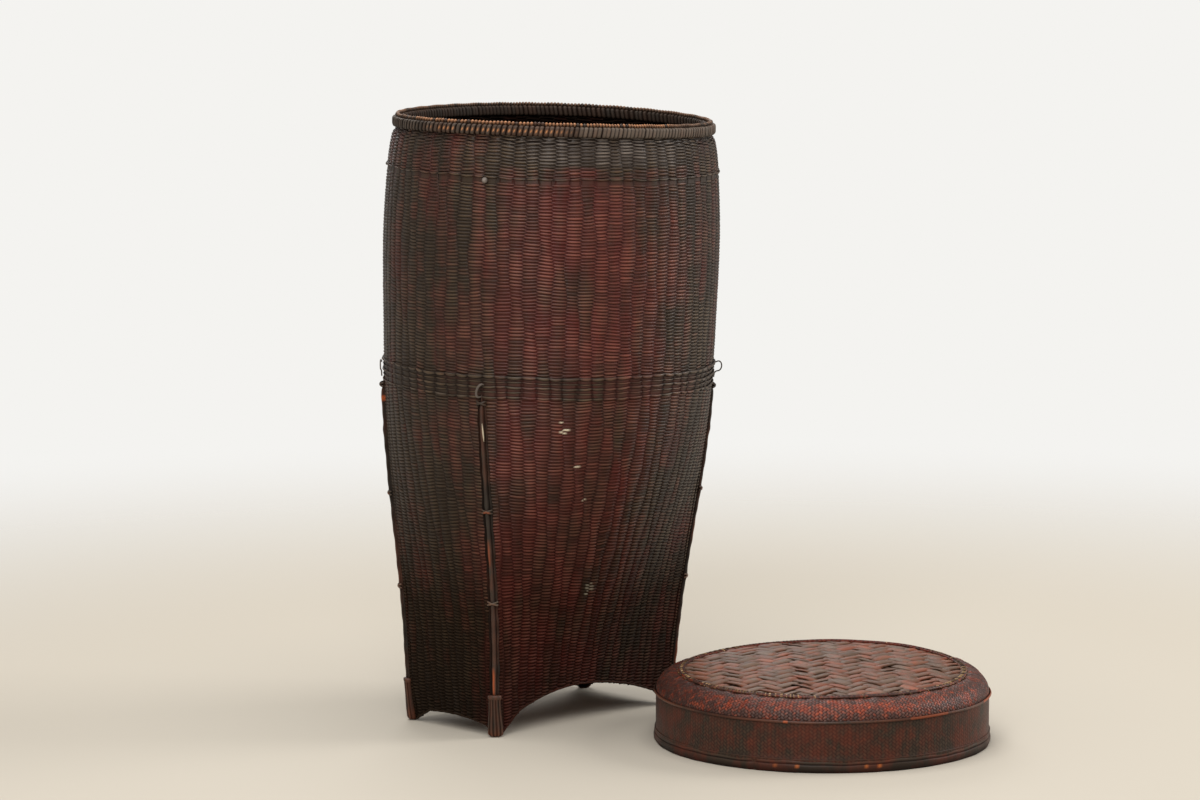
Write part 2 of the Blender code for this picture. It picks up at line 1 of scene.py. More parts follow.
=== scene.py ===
# Looks of a tall lidded basket: woven split cane under a worn dark red-brown lacquer.
import math
import bmesh
import bpy
import numpy as np
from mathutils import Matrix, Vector


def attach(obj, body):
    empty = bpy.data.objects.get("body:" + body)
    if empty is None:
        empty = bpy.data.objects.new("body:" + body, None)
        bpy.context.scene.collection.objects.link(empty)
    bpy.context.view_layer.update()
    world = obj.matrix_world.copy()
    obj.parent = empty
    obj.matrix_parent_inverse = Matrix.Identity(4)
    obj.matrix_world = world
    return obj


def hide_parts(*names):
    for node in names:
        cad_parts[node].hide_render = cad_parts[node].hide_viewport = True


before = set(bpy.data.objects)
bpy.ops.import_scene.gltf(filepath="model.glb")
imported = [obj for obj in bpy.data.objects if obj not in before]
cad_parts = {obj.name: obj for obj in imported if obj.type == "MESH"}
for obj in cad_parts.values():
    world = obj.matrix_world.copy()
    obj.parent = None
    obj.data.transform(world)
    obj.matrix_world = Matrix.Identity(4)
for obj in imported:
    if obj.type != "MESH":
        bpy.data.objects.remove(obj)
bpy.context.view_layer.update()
chance = np.random.RandomState(41)

# camera, at the photo's height and heading; aside and back are measured from the basket's axis
view = {
    "lens": 135, "sensor": 36, "clip": (0.05, 60),
    "turn": 44.0, "dip": 7.35, "aside": 0.054, "back": 4.05, "height": 0.81,
}
basketAxis = (-0.0501188, 0.1331451)


def makeCamera():
    turn = math.radians(view["turn"])
    data = bpy.data.cameras.new("camera")
    data.lens, data.sensor_width = view["lens"], view["sensor"]
    data.clip_start, data.clip_end = view["clip"]
    camera = bpy.data.objects.new("camera", data)
    aside, ahead = view["aside"], -view["back"]
    camera.location = (
        basketAxis[0] + math.cos(turn) * aside + math.sin(turn) * ahead,
        basketAxis[1] - math.sin(turn) * aside + math.cos(turn) * ahead,
        view["height"],
    )
    camera.rotation_euler = (math.radians(90 - view["dip"]), 0, -turn)
    bpy.context.scene.collection.objects.link(camera)
    bpy.context.scene.camera = camera


makeCamera()

# every point of a piece carries four marks: how proud it stands, its tone, its lacquer and its scuffs
markNames = ("proud", "tone", "paint", "scuff")


def hexColour(text):
    parts = [int(text[i:i + 2], 16) / 255 for i in (1, 3, 5)]
    return [p / 12.92 if p <= 0.04045 else ((p + 0.055) / 1.055) ** 2.4 for p in parts] + [1]


# adds a node; a node or socket among its inputs makes a link, anything else is the input's value,
# and a tuple fills the inputs in their order
def addNode(tree, kind, inputs=None, **settings):
    node = tree.nodes.new("ShaderNode" + kind)
    for key, value in settings.items():
        setattr(node, key, value)
    for key, value in enumerate(inputs) if isinstance(inputs, tuple) else (inputs or {}).items():
        if isinstance(value, bpy.types.Node):
            value = value.outputs[0]
        if isinstance(value, bpy.types.NodeSocket):
            tree.links.new(value, node.inputs[key])
        else:
            node.inputs[key].default_value = value
    return node


# split cane under lacquer: dark grooves, the body colour, paler worn crests and painted shade low down;
# a MapRange is given its value, the range that it comes from and the range that it goes to
def caneMaterial(name, look):
    material = bpy.data.materials.new(name)
    material.use_nodes = True
    tree = material.node_tree
    shader = tree.nodes["Principled BSDF"]
    place = addNode(tree, "TexCoord").outputs["Object"]
    proud, tone, paint, scuff = [
        addNode(tree, "Attribute", attribute_name=mark).outputs["Fac"] for mark in markNames
    ]
    patches = addNode(
        tree, "TexNoise", {"Vector": place, "Scale": look["patchScale"], "Detail": 4, "Roughness": 0.62}
    )
    streakPlace = addNode(tree, "Mapping", {"Vector": place, "Scale": look["streakStretch"]})
    streaks = addNode(tree, "TexNoise", {"Vector": streakPlace, "Scale": 1, "Detail": 3})
    # how much of the red lacquer is left: the painted share, broken up by patches and streaks
    broken = addNode(tree, "MapRange", (patches, 0.32, 0.68, -0.5, 0.5))
    streaked = addNode(tree, "MapRange", (streaks, 0.3, 0.7, -0.35, 0.35))
    spread = addNode(tree, "Math", (broken, streaked), operation="ADD")
    left = addNode(tree, "Math", (spread, look["broken"], paint), operation="MULTIPLY_ADD", use_clamp=True)
    body, crest = [
        addNode(
            tree, "Mix", {0: left, 6: hexColour(look[bare]), 7: hexColour(look[lacquer])}, data_type="RGBA"
        ).outputs[2]
        for bare, lacquer in (("bare", "lacquer"), ("bareCrest", "lacquerCrest"))
    ]
    # below none the crests go grey (grey cane, and a painted sheen under the rim); high tone rubs crests most
    grey = addNode(tree, "MapRange", (paint, -0.2, -0.8, 0.0, 1.0))
    aged = addNode(tree, "Mix", {0: grey, 6: crest, 7: hexColour(look["grey"])}, data_type="RGBA")
    rise = addNode(tree, "MapRange", (proud, look["crestFrom"], 1.0))
    worn = addNode(tree, "MapRange", (tone, 0.0, 1.0, look["toneLow"], look["toneHigh"]))
    crestShare = addNode(tree, "Math", (rise, worn), operation="MULTIPLY", use_clamp=True)
    colour = addNode(tree, "Mix", {0: crestShare, 6: body, 7: aged.outputs[2]}, data_type="RGBA").outputs[2]
    # darker grooves, then scuffs and tan rubbed spots, then painted shade that darkens the wall towards the
    # foot
    sunk = addNode(tree, "MapRange", (proud, 0.0, look["grooveTo"], look["groove"], 0.0))
    height = addNode(tree, "SeparateXYZ", (place,)).outputs["Z"]
    footShadeRange = (height, *look["footShadeHeights"], look["footShade"], 0.0)
    paintedShade = addNode(tree, "MapRange", footShadeRange, interpolation_type="SMOOTHSTEP")
    for share, over in ((sunk, "darkening"), (scuff, "scuff"), (paintedShade, "darkening")):
        layer = addNode(tree, "Mix", {0: share, 6: colour, 7: hexColour(look[over])}, data_type="RGBA")
        colour = layer.outputs[2]
    tree.links.new(colour, shader.inputs["Base Color"])
    # fibres of the cane, about a millimetre apart, and duller grooves
    fibres = addNode(
        tree, "TexNoise", {"Vector": place, "Scale": look["fibreScale"], "Detail": 3, "Roughness": 0.6}
    )
    rough = addNode(tree, "MapRange", (fibres, 0.3, 0.7, look["roughness"] - 0.08, look["roughness"] + 0.1))
    duller = addNode(tree, "MapRange", (proud, 0.0, 0.6, 0.3, 0.0))
    roughAll = addNode(tree, "Math", (rough, duller), operation="ADD", use_clamp=True)
    tree.links.new(roughAll.outputs[0], shader.inputs["Roughness"])
    bump = addNode(tree, "Bump", {"Height": fibres, "Strength": look["bump"], "Distance": look["fibreDepth"]})
    tree.links.new(bump.outputs[0], shader.inputs["Normal"])
    shader.inputs["IOR"].default_value = 1.5  # lacquer and cane skin
    # the painted shade low on the wall and the grooves hardly shine
    matt = addNode(tree, "MapRange", (paintedShade, 0.0, 0.5, look["gloss"], 0.04))
    uncovered = addNode(tree, "MapRange", (proud, 0.0, 0.5, 0.1, 1.0))
    sheen = addNode(tree, "Math", (matt, uncovered), operation="MULTIPLY")
    tree.links.new(sheen.outputs[0], shader.inputs["Specular IOR Level"])
    return material


# weave of the wall: fine split-cane weft, dark red lacquer over smoked brown, crests rubbed grey-brown
wallLook = {
    "lacquer": "#571f18", "lacquerCrest": "#8f5545", "bare": "#312419", "bareCrest": "#66523c",
    "darkening": "#120b08", "grey": "#a3968c", "scuff": "#e6d6b8",
    "patchScale": 19, "streakStretch": (75, 75, 8), "broken": 0.7, "crestFrom": 0.35,
    "toneLow": 0.1, "toneHigh": 0.95, "groove": 0.88, "grooveTo": 0.5,
    "fibreScale": 900, "fibreDepth": 0.0006, "roughness": 0.40, "bump": 0.25,
    # footShade and the heights after it paint shade that darkens the wall towards the foot
    "gloss": 0.38, "footShade": 0.74, "footShadeHeights": (-0.02, 0.33),
}
# lashing of the rim: broad cane wraps, smoked, the skin rubbed to orange where hands take it
rimLook = dict(
    wallLook, lacquer="#4e3122", lacquerCrest="#7b543c", bare="#2a221c", bareCrest="#857668", scuff="#f0a268",
    patchScale=26, streakStretch=(8, 8, 8), broken=0.4, toneLow=0.15, toneHigh=0.9,
    roughness=0.5, gloss=0.14, footShade=0.0,
)
# split-cane posts, feet and ties: smoked, with rust-brown skin left in streaks
postLook = dict(
    wallLook, lacquer="#57301f", lacquerCrest="#7d5340", bare="#2a2119", bareCrest="#625242", scuff="#b5562a",
    patchScale=40, streakStretch=(420, 420, 14), broken=0.8, groove=0.85, grooveTo=0.45,
    roughness=0.45, footShade=0.0,
)
# shoulder of the lid: fine twill, thick red-orange lacquer going purple-grey where it is worn through
shoulderLook = dict(
    wallLook, lacquer="#662416", lacquerCrest="#c25a32", bare="#36221d", bareCrest="#704d42",
    darkening="#150b09", scuff="#d9b98a", patchScale=105, streakStretch=(330, 330, 330), broken=1.15,
    crestFrom=0.15, groove=0.55, gloss=0.3, footShade=0.0,
)
# skirt of the lid: herringbone plait, dark, red lacquer left in clouds
skirtLook = dict(
    wallLook, lacquer="#4c2319", lacquerCrest="#70402f", bare="#2a201a", bareCrest="#524437",
    darkening="#120c09", scuff="#b5622f", patchScale=52, streakStretch=(230, 230, 60), broken=0.95,
    groove=0.45, grooveTo=0.8, roughness=0.45, gloss=0.16, footShade=0.0,
)
# top of the lid: broad bamboo splints, dull grey-brown, red lacquer left in clouds
topLook = dict(
    wallLook, lacquer="#77402b", lacquerCrest="#a85c3d", bare="#574133", bareCrest="#7d6350", darkening="#2a1b12",
    patchScale=58, streakStretch=(110, 110, 110), broken=0.95, toneLow=0.0, toneHigh=0.7,
    groove=0.68, grooveTo=0.35, roughness=0.5, gloss=0.2, footShade=0.0,
)
# waxed binding thread of the lid's ring: pale straw
stitchLook = dict(
    wallLook, lacquer="#9a774a", lacquerCrest="#cda777", bare="#4d3628", bareCrest="#8f7152", darkening="#22160e",
    patchScale=30, streakStretch=(40, 40, 40), broken=1.0, roughness=0.5, footShade=0.0,
)

looks = {
    "lacqueredWeave": wallLook, "rubbedRimCane": rimLook, "smokedPostCane": postLook,
    "redLidPlait": shoulderLook, "darkLidPlait": skirtLook, "smokedBambooSplint": topLook,
    "strawBinding": stitchLook,
}
finishes = {name: caneMaterial(name, look) for name, look in looks.items()}
print("materials made")

# the basket's form: a rounded rectangle at the foot that grows into a circle, heights and radii in metres
form = {
    "footLength": 0.2198, "footWidth": 0.1158, "footRounding": 0.012, "roundHeight": 0.350, "roundEase": 2.0,
    "flare": 0.0055, "flareHeight": 0.055, "cornerSpread": math.radians(4.9),
    "turn": math.radians(-7.7), "turnEase": 1.25,
    "shoulder": 0.500, "rimBottom": 0.5365, "rimTop": 0.5455, "sag": 0.0030,
    "leanHeading": math.radians(-44), "leanAtRim": 0.0128, "mouthDrop": 0.0081, "rimOutside": 0.1456,
    "profile": ((0.318, 0.1499), (0.435, 0.1522), (0.500, 0.1494), (0.5285, 0.1459), (0.5345, 0.1424)),
}
# the arched lower edge; beside each foot it runs down to the sole as a small web
hem = {
    "cornerLift": 0.0072, "archHeight": 0.0362, "archPeak": 0.43, "archPower": 1.75, "endArch": 0.0135,
    "webDrop": 0.0088, "webFrom": 0.004, "webLength": 0.022, "webBehind": 0.009, "webLow": 0.0012,
}
cornerX, cornerY = [
    0.5 * form[side] - form["footRounding"] * (1 - math.sqrt(0.5)) for side in ("footLength", "footWidth")
]
cornerTurn = math.atan2(cornerY, cornerX)
corners = {
    "back": cornerTurn, "left": math.pi - cornerTurn,
    "front": math.pi + cornerTurn, "right": math.tau - cornerTurn,
}


# 0 before a start and 1 a width further on; a negative width turns it round
def ramp(value, start, width):
    return np.clip((value - start) / width, 0, 1)


# 1 between two places, with the width of the way up and of the way down
def stretch(value, start, stop, rise, fall):
    return ramp(value, start, rise) * ramp(value, stop, -fall)


# radius of the round part, a smooth curve through the profile
def roundRadius(height):
    places, radii = np.array(form["profile"]).T
    slopes = np.zeros(len(places))
    slopes[1:-1] = (radii[2:] - radii[:-2]) / (places[2:] - places[:-2])
    slopes[-1] = (radii[-1] - radii[-2]) / (places[-1] - places[-2])
    height = np.clip(height, places[0], places[-1])
    i = np.clip(np.searchsorted(places, height, side="right") - 1, 0, len(places) - 2)
    width = places[i + 1] - places[i]
    t = (height - places[i]) / width
    return (
        (2 * t**3 - 3 * t**2 + 1) * radii[i] + (t**3 - 2 * t**2 + t) * width * slopes[i]
        + (3 * t**2 - 2 * t**3) * radii[i + 1] + (t**3 - t**2) * width * slopes[i + 1]
    )


def footRadius(azimuth):
    halfLength, halfWidth, rounding = 0.5 * form["footLength"], 0.5 * form["footWidth"], form["footRounding"]
    across, along = np.abs(np.cos(azimuth)), np.abs(np.sin(azimuth))
    middle = (halfLength - rounding) * across + (halfWidth - rounding) * along
    rest = (halfLength - rounding) ** 2 + (halfWidth - rounding) ** 2 - rounding**2
    corner = middle + np.sqrt(np.maximum(middle**2 - rest, 0))
    ends = halfLength * along <= (halfWidth - rounding) * across
    sides = halfWidth * across <= (halfLength - rounding) * along
    onSide = np.where(sides, halfWidth / np.maximum(along, 1e-6), corner)
    return np.where(ends, halfLength / np.maximum(across, 1e-6), onSide)


def roundness(height):
    return np.sin(0.5 * np.pi * ramp(height, 0, form["roundHeight"])) ** form["roundEase"]


def onCircle(azimuth, radius, height):
    share = roundness(height)
    place = azimuth + form["cornerSpread"] * share * np.sin(2 * azimuth)
    place = place + form["turn"] * share ** form["turnEase"]
    neck = ramp(height, form["shoulder"], form["rimBottom"] - form["shoulder"])
    low = form["sag"] * neck * np.cos(place - form["leanHeading"]) ** 2
    return np.stack([radius * np.cos(place), radius * np.sin(place), height - low], -1)


# outer surface of the wall, before the lean
def section(azimuth, height):
    share = roundness(height)
    flare = form["flare"] * np.sin(0.5 * np.pi * ramp(height, 0, form["flareHeight"]))
    radius = (1 - share) * (footRadius(azimuth) + flare) + share * roundRadius(height)
    return onCircle(azimuth, radius, height)


# the basket stands a little out of true
def leaned(points):
    x, y, z = points[..., 0], points[..., 1], points[..., 2]
    towards = (math.cos(form["leanHeading"]), math.sin(form["leanHeading"]))
    slope = form["leanAtRim"] / form["rimTop"]
    drop = form["mouthDrop"] / (2 * form["rimOutside"]) / form["rimTop"]
    aside = x * towards[0] + y * towards[1]
    x = x + towards[0] * slope * z + basketAxis[0]
    y = y + towards[1] * slope * z + basketAxis[1]
    return np.stack([x, y, z - drop * z * aside], -1)


def wallPoint(azimuth, height, outward=0.0):
    azimuth, height, outward = np.broadcast_arrays(np.asarray(azimuth, float), height, outward)
    nudge = math.radians(0.4)
    along = section(azimuth + nudge, height) - section(azimuth - nudge, height)
    normal = np.stack([along[..., 1], -along[..., 0], np.zeros_like(azimuth)], -1)
    normal /= np.linalg.norm(normal, axis=-1, keepdims=True)
    return leaned(section(azimuth, height) + outward[..., None] * normal)


def wallNormal(azimuth, height):
    out = wallPoint(azimuth, height, 0.002) - wallPoint(azimuth, height, 0.0)
    return out / np.linalg.norm(out, axis=-1, keepdims=True)


def rimPoint(azimuth, radius, height):
    azimuth, radius, height = np.broadcast_arrays(np.asarray(azimuth, float), radius, height)
    return leaned(onCircle(azimuth, radius, height))


# how far the hem runs down beside a foot: further on one side of it than on the other
def besideFoot(azimuth, radius):
    low = np.zeros(np.shape(azimuth))
    for turn in corners.values():
        ahead = np.mod(azimuth - turn + math.pi, math.tau) - math.pi
        foot = footRadius(turn)
        x = radius * np.cos(azimuth) - foot * np.cos(turn)
        y = radius * np.sin(azimuth) - foot * np.sin(turn)
        gap = np.hypot(x, y)
        before, behind = 1 - (gap - hem["webFrom"]) / hem["webLength"], 1 - gap / hem["webBehind"]
        near = np.abs(ahead) < 0.4
        low = np.maximum(low, np.clip(np.where(ahead > 0, before, behind), 0, 1) * near)
    return hem["webDrop"] * low


def hemHeight(azimuth):
    azimuth = np.mod(azimuth, math.tau)
    half = np.mod(azimuth, math.pi)
    radius = footRadius(azimuth)
    place = np.clip(0.5 - 0.5 * radius * np.cos(half) / cornerX, 0, 1) - hem["archPeak"]
    reach = np.where(place < 0, hem["archPeak"], 1 - hem["archPeak"])
    fall = np.abs(place / reach) ** hem["archPower"]
    arch = hem["archHeight"] - (hem["archHeight"] - hem["cornerLift"]) * fall
    end = np.clip(np.abs(radius * np.sin(azimuth)) / cornerY, 0, 1)
    low = hem["endArch"] - (hem["endArch"] - hem["cornerLift"]) * end**2
    height = np.where((half >= cornerTurn) & (half <= math.pi - cornerTurn), arch, low)
    return np.maximum(height - besideFoot(azimuth, radius), hem["webLow"])


# an open strand gets its end section twice more: once as it is and once drawn to a point
def closeEnds(sheet):
    size = sheet["at"].shape[:2]
    closed = {key: np.broadcast_to(sheet.get(key, 0.5), size) for key in markNames}
    closed["at"] = sheet["at"]
    for key, grid in closed.items():
        closed[key] = np.concatenate([grid[:, :1], grid, grid[:, -1:]], 1)
    closed["at"][:, 0], closed["at"][:, -1] = sheet["at"][:, 0].mean(0), sheet["at"][:, -1].mean(0)
    return closed


# each sheet is a grid bent into place: rows run round the section, columns along the strand;
# its marks are single values or anything that spreads over the grid
def buildPiece(name, sheets, finish, body, *nodes):
    sheets = [closeEnds(sheet) if sheet.get("open") else sheet for sheet in sheets]
    shape = bmesh.new()
    for sheet in sheets:
        rows, columns = sheet["at"].shape[:2]
        bmesh.ops.create_grid(shape, x_segments=columns - 1, y_segments=rows - 1, size=0.5)
    mesh = bpy.data.meshes.new(name)
    shape.to_mesh(mesh)
    shape.free()
    mesh.vertices.foreach_set("co", np.concatenate([s["at"].reshape(-1, 3) for s in sheets]).ravel())
    for key in markNames:
        values = [np.broadcast_to(s.get(key, 0.5), s["at"].shape[:2]).ravel() for s in sheets]
        mark = mesh.attributes.new(key, "FLOAT", "POINT")
        mark.data.foreach_set("value", np.concatenate(values).astype(np.float32))
    shape = bmesh.new()
    shape.from_mesh(mesh)
    bmesh.ops.remove_doubles(shape, verts=shape.verts, dist=2e-6)
    bmesh.ops.recalc_face_normals(shape, faces=shape.faces)
    for face in shape.faces:
        face.smooth = True
    shape.to_mesh(mesh)
    shape.free()
    mesh.materials.append(finishes[finish])
    piece = bpy.data.objects.new(name, mesh)
    bpy.context.scene.collection.objects.link(piece)
    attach(piece, body)
    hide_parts(*nodes)
    print(name, len(mesh.polygons), "faces")


# sections of a strand, as (place across, how far it stands out)
lens = ((-1, 0), (-0.55, 0.8), (0, 1), (0.55, 0.8), (1, 0), (0.5, -0.7), (-0.5, -0.7))
diamond = ((-1, 0), (0, 1), (1, 0), (0, -1))


def roundSection(count):
    return tuple((math.cos(math.tau * i / count), math.sin(math.tau * i / count)) for i in range(count))


# a strand: its section is carried along a path, with its back turned to the wall
def strand(path, out, halfWidth, thickness, outline=lens, loop=False, **marks):
    if loop:
        ahead = np.roll(path[:-1], -1, 0) - np.roll(path[:-1], 1, 0)
        ahead = np.concatenate([ahead, ahead[:1]])
    else:
        ahead = np.gradient(path, axis=0)
    ahead /= np.linalg.norm(ahead, axis=1, keepdims=True)
    side = np.cross(ahead, out)
    side /= np.linalg.norm(side, axis=1, keepdims=True)
    out = np.cross(side, ahead)
    across, height = np.array(outline + outline[:1]).T[:, :, None, None]
    wide = np.broadcast_to(halfWidth, len(path))[None, :, None]
    thick = np.broadcast_to(thickness, len(path))[None, :, None]
    at = path[None] + across * wide * side[None] + height * thick * out[None]
    proud = np.broadcast_to(np.clip(height[..., 0], 0, 1), at.shape[:2])
    return {"at": at, "open": not loop, "proud": proud, "scuff": 0.0, **marks}


# stakes and weft of the wall; the stakes are counted along each long and each short side
weave = {
    "longStakes": 25, "shortStakes": 13, "samples": 4, "rowPitch": 0.00145, "thickness": 0.00036,
    "swing": 0.00060, "floatHeight": 0.00126, "crossHeight": 0.00086, "middle": -0.0010,
    "webBottom": 0.0028, "hemBottom": 0.0085, "hemSection": 0.02, "hemTop": 0.0390, "hemGap": 0.0010,
    "bandLow": 0.3064, "bandHigh": 0.3258, "stripLow": 0.4952, "stripHigh": 0.4990, "top": 0.5412,
    "rowsInHemPiece": 48,
    "wander": 0.00012, "arc": -0.00022, "tilt": 0.00050, "rowWave": 0.0010, "rowWaves": 5, "rowTurn": 24,
    # waves of the columns, as (how many round the wall, their twist with the height, size in stakes)
    "columnWander": ((21, 52, 0.10), (35, 127, 0.06)),
    # the rows lie level beside these edges, as (height, half width)
    "levelEdges": ((0.009, 0), (0.318, 0.008), (0.4952, 0.004), (0.536, 0)), "levelFor": 0.02,
    # side, crest, other side and back of a strand's section, and the side again
    "proud": (0.3, 1.0, 0.45, 0.2, 0.3), "chipped": (0.7, 1.0, 0.7, 0.3, 0.7),
    # painted shade on the left short side: crest and groove differ less there, as on a side in shade
    "flatShadeAt": (125, 203, 20, 12), "flatShade": 0.45, "flatShadeProud": 0.40,
}
stakeCount = 2 * (weave["longStakes"] + weave["shortStakes"])
stakeTables = {}


# a wave round the wall
def wave(places, count, turn):
    return np.sin(math.tau * count * places / stakeCount + turn)


# stakes stand at even distances along the section at every height; this turns stake places into azimuths
def stakeTurn(stakes, height):
    key = round(float(height), 5)
    if key not in stakeTables:
        turns = np.linspace(corners["back"], corners["back"] + math.tau, 1441)
        points = section(turns, np.full_like(turns, height))
        walked = np.concatenate([[0], np.cumsum(np.linalg.norm(np.diff(points, axis=0), axis=1))])
        marks = [*corners.values(), corners["back"] + math.tau]
        starts = np.cumsum([0] + [weave["longStakes"], weave["shortStakes"]] * 2)
        stakeTables[key] = (np.interp(walked, np.interp(marks, turns, walked), starts), turns)
    places, turns = stakeTables[key]
    stakes = np.asarray(stakes, float)
    wandered = stakes
    for count, twist, size in weave["columnWander"]:
        wandered = wandered + size * wave(stakes, count, twist * height)
    laps = np.floor(wandered / stakeCount)
    return np.interp(wandered - laps * stakeCount, places, turns) + laps * math.tau


# where the red lacquer is: stretches in degrees as (from, to, rise, fall), heights as (start, width)
lacquer = {
    "thin": 0.10, "full": 0.62, "frontFrom": 188, "front": (296, 22, 46), "behind": (12, 128, 30, 40),
    "behindShare": 0.55, "laterBelow": (0.34, -0.04), "laterAbove": (0.440, 0.025), "later": (5, 10),
    "below": (0.512, -0.03), "olive": 0.15, "oliveBelow": (0.33, -0.05), "oliveUpTo": (194, -10),
    # the grey strength, with the heights and stretch after it, is a painted sheen on the top of the front
    # broad side
    "grey": 0.72, "sheenAbove": (0.508, 0.006), "sheenAt": (196, 300, 30, 30),
}


def inDegrees(azimuth):
    return np.degrees(np.mod(azimuth, math.tau))


# most is left on the broad side that faces the light, least on the short side
def lacquerAndSheen(azimuth, height):
    turned = inDegrees(azimuth)
    later = [ramp(height, *lacquer[edge]) for edge in ("laterBelow", "laterAbove")]
    start = lacquer["frontFrom"] + lacquer["later"][0] * later[0] + lacquer["later"][1] * later[1]
    front = stretch(turned, start, *lacquer["front"])
    behind = lacquer["behindShare"] * stretch(turned, *lacquer["behind"])
    kept = np.maximum(front, behind) * ramp(height, *lacquer["below"])
    olive = ramp(height, *lacquer["oliveBelow"]) * ramp(turned, *lacquer["oliveUpTo"])
    # painted sheen under the rim on the front broad side: the paint goes below none there, so the crests turn
    # grey
    grey = ramp(height, *lacquer["sheenAbove"]) * stretch(turned, *lacquer["sheenAt"])
    return lacquer["thin"] + lacquer["full"] * kept - lacquer["grey"] * grey - lacquer["olive"] * olive


# what each row and each column of the weave has of its own; a column keeps its share for some centimetres
columnLength = 0.022
rowTable, columnTable = (600, stakeCount), (27, stakeCount)
rowWander = chance.normal(0, 0.5, rowTable).clip(-1.5, 1.5)
columnTilt = chance.normal(0, 0.7, columnTable).clip(-1.3, 1.3)
columnPaint = chance.normal(0, 1, columnTable).clip(-2, 2)
columnTone = chance.normal(0, 1, columnTable).clip(-2, 2)
rowTone = (chance.normal(0, 0.45, rowTable) + chance.normal(0, 0.3, (rowTable[0], 1))).clip(-1, 1)


def columnShare(table, stakes, height):
    level = np.clip(np.asarray(height) / columnLength, 0, table.shape[0] - 1.001)
    low = np.floor(level).astype(int)
    column = np.floor(stakes).astype(int) % stakeCount
    share = level - low
    return table[low, column] * (1 - share) + table[low + 1, column] * share


# pale chips on the front, as (azimuth in degrees, height, width in degrees, height of the patch, strength)
chips = (
    (235.4, 0.2798, 1.2, 0.0021, 1.0), (234.2, 0.2868, 0.7, 0.0012, 0.9), (234.6, 0.2775, 1.3, 0.0012, 1.0),
    (239.5, 0.2460, 2.2, 0.0008, 0.8), (247.6, 0.2170, 2.2, 0.0009, 0.6), (245.2, 0.2140, 1.5, 0.0009, 0.5),
    (250.5, 0.2000, 0.9, 0.0009, 0.4), (251.5, 0.1800, 0.8, 0.0009, 0.35), (254.5, 0.1295, 3.2, 0.0042, 0.36),
    (252.5, 0.1230, 1.8, 0.0018, 0.48), (213.5, 0.4515, 0.32, 0.0009, 0.8), (242.5, 0.4080, 0.4, 0.0009, 0.6),
)


def chipped(azimuth, height):
    turned = inDegrees(azimuth)
    marks = np.zeros(np.broadcast(turned, height).shape)
    for turn, level, wide, high, strength in chips:
        reach = ((turned - turn) / wide) ** 2 + ((height - level) / high) ** 2
        marks = np.maximum(marks, strength * (reach < 1))
    return marks


# one row of weft, all the way round or between two places
def weftRow(index, height, start=None, stop=None):
    samples = weave["samples"]
    whole = start is None
    if whole:
        start, stop = 0, stakeCount * samples
    places = (np.arange(start, stop + 1) + 0.5) / samples
    stake = np.floor(places).astype(int)
    across = 2 * (places - stake - 0.5)
    swing = np.where((stake + index) % 2 == 0, 1.0, -1.0) * (1 - np.abs(across) ** 3)
    lap = stake % stakeCount
    wander, tone = rowWander[index, lap], rowTone[index, lap]
    # rows bow up over each stake and drift together, so none cross
    calm = ramp(min(abs(height - at) - half for at, half in weave["levelEdges"]), 0, weave["levelFor"])
    level = height + weave["wander"] * (wander * np.abs(swing) + 0.7 * np.sin(places * 0.55 + index * 2.4))
    level = level + weave["arc"] * (0.5 - across**2)
    level = level + weave["tilt"] * columnShare(columnTilt, places, height) * across
    level = level + calm * weave["rowWave"] * wave(places, weave["rowWaves"], weave["rowTurn"] * height)
    turns = stakeTurn(places, height)
    path = wallPoint(turns, level, weave["middle"] + weave["swing"] * swing * (1 + 0.15 * wander))
    half = weave["crossHeight"] + (weave["floatHeight"] - weave["crossHeight"]) * np.abs(swing)
    half = half * (1 + 0.12 * tone)
    proud = np.clip(0.5 + 0.5 * swing, 0, 1)[None] * np.array(weave["proud"])[:, None]
    # painted shade: on the left short side crests and grooves are drawn towards one middle tone
    paintedShade = weave["flatShade"] * stretch(inDegrees(turns), *weave["flatShadeAt"])
    scuff = chipped(turns, level)[None] * (swing > 0)[None] * np.array(weave["chipped"])[:, None]
    return strand(
        path, wallNormal(turns, level), half, weave["thickness"], diamond, whole,
        proud=proud * (1 - paintedShade) + weave["flatShadeProud"] * paintedShade, scuff=scuff,
        tone=np.clip(0.45 + 0.35 * tone + 0.28 * columnShare(columnTone, places, height), 0, 1),
        paint=lacquerAndSheen(turns, level) + 0.17 * columnShare(columnPaint, places, height) + 0.10 * tone,
    )


def evenLevels(low, high):
    count = int(round((weave[high] - weave[low]) / weave["rowPitch"]))
    return [weave[low] + (weave[high] - weave[low]) * (i + 0.5) / count for i in range(count)]


# the rows of the hem stop where the arches and webs end
def makeHemRows():
    sheets = []
    samples = weave["samples"]
    total = stakeCount * samples
    webs = [(-1 - i, height) for i, height in enumerate(reversed(evenLevels("webBottom", "hemBottom")))]
    for index, height in webs + list(enumerate(evenLevels("hemBottom", "hemTop"))):
        turns = stakeTurn((np.arange(total) + 0.5) / samples, height)
        here = height > hemHeight(turns) + weave["hemGap"]
        if here.all():
            sheets.append(weftRow(index, height))
            continue
        for begin in [i for i in range(total) if here[i] and not here[i - 1]]:
            length = 1
            while here[(begin + length) % total]:
                length += 1
            if length > 3:
                sheets.append(weftRow(index, height, begin, begin + length - 1))
    return sheets


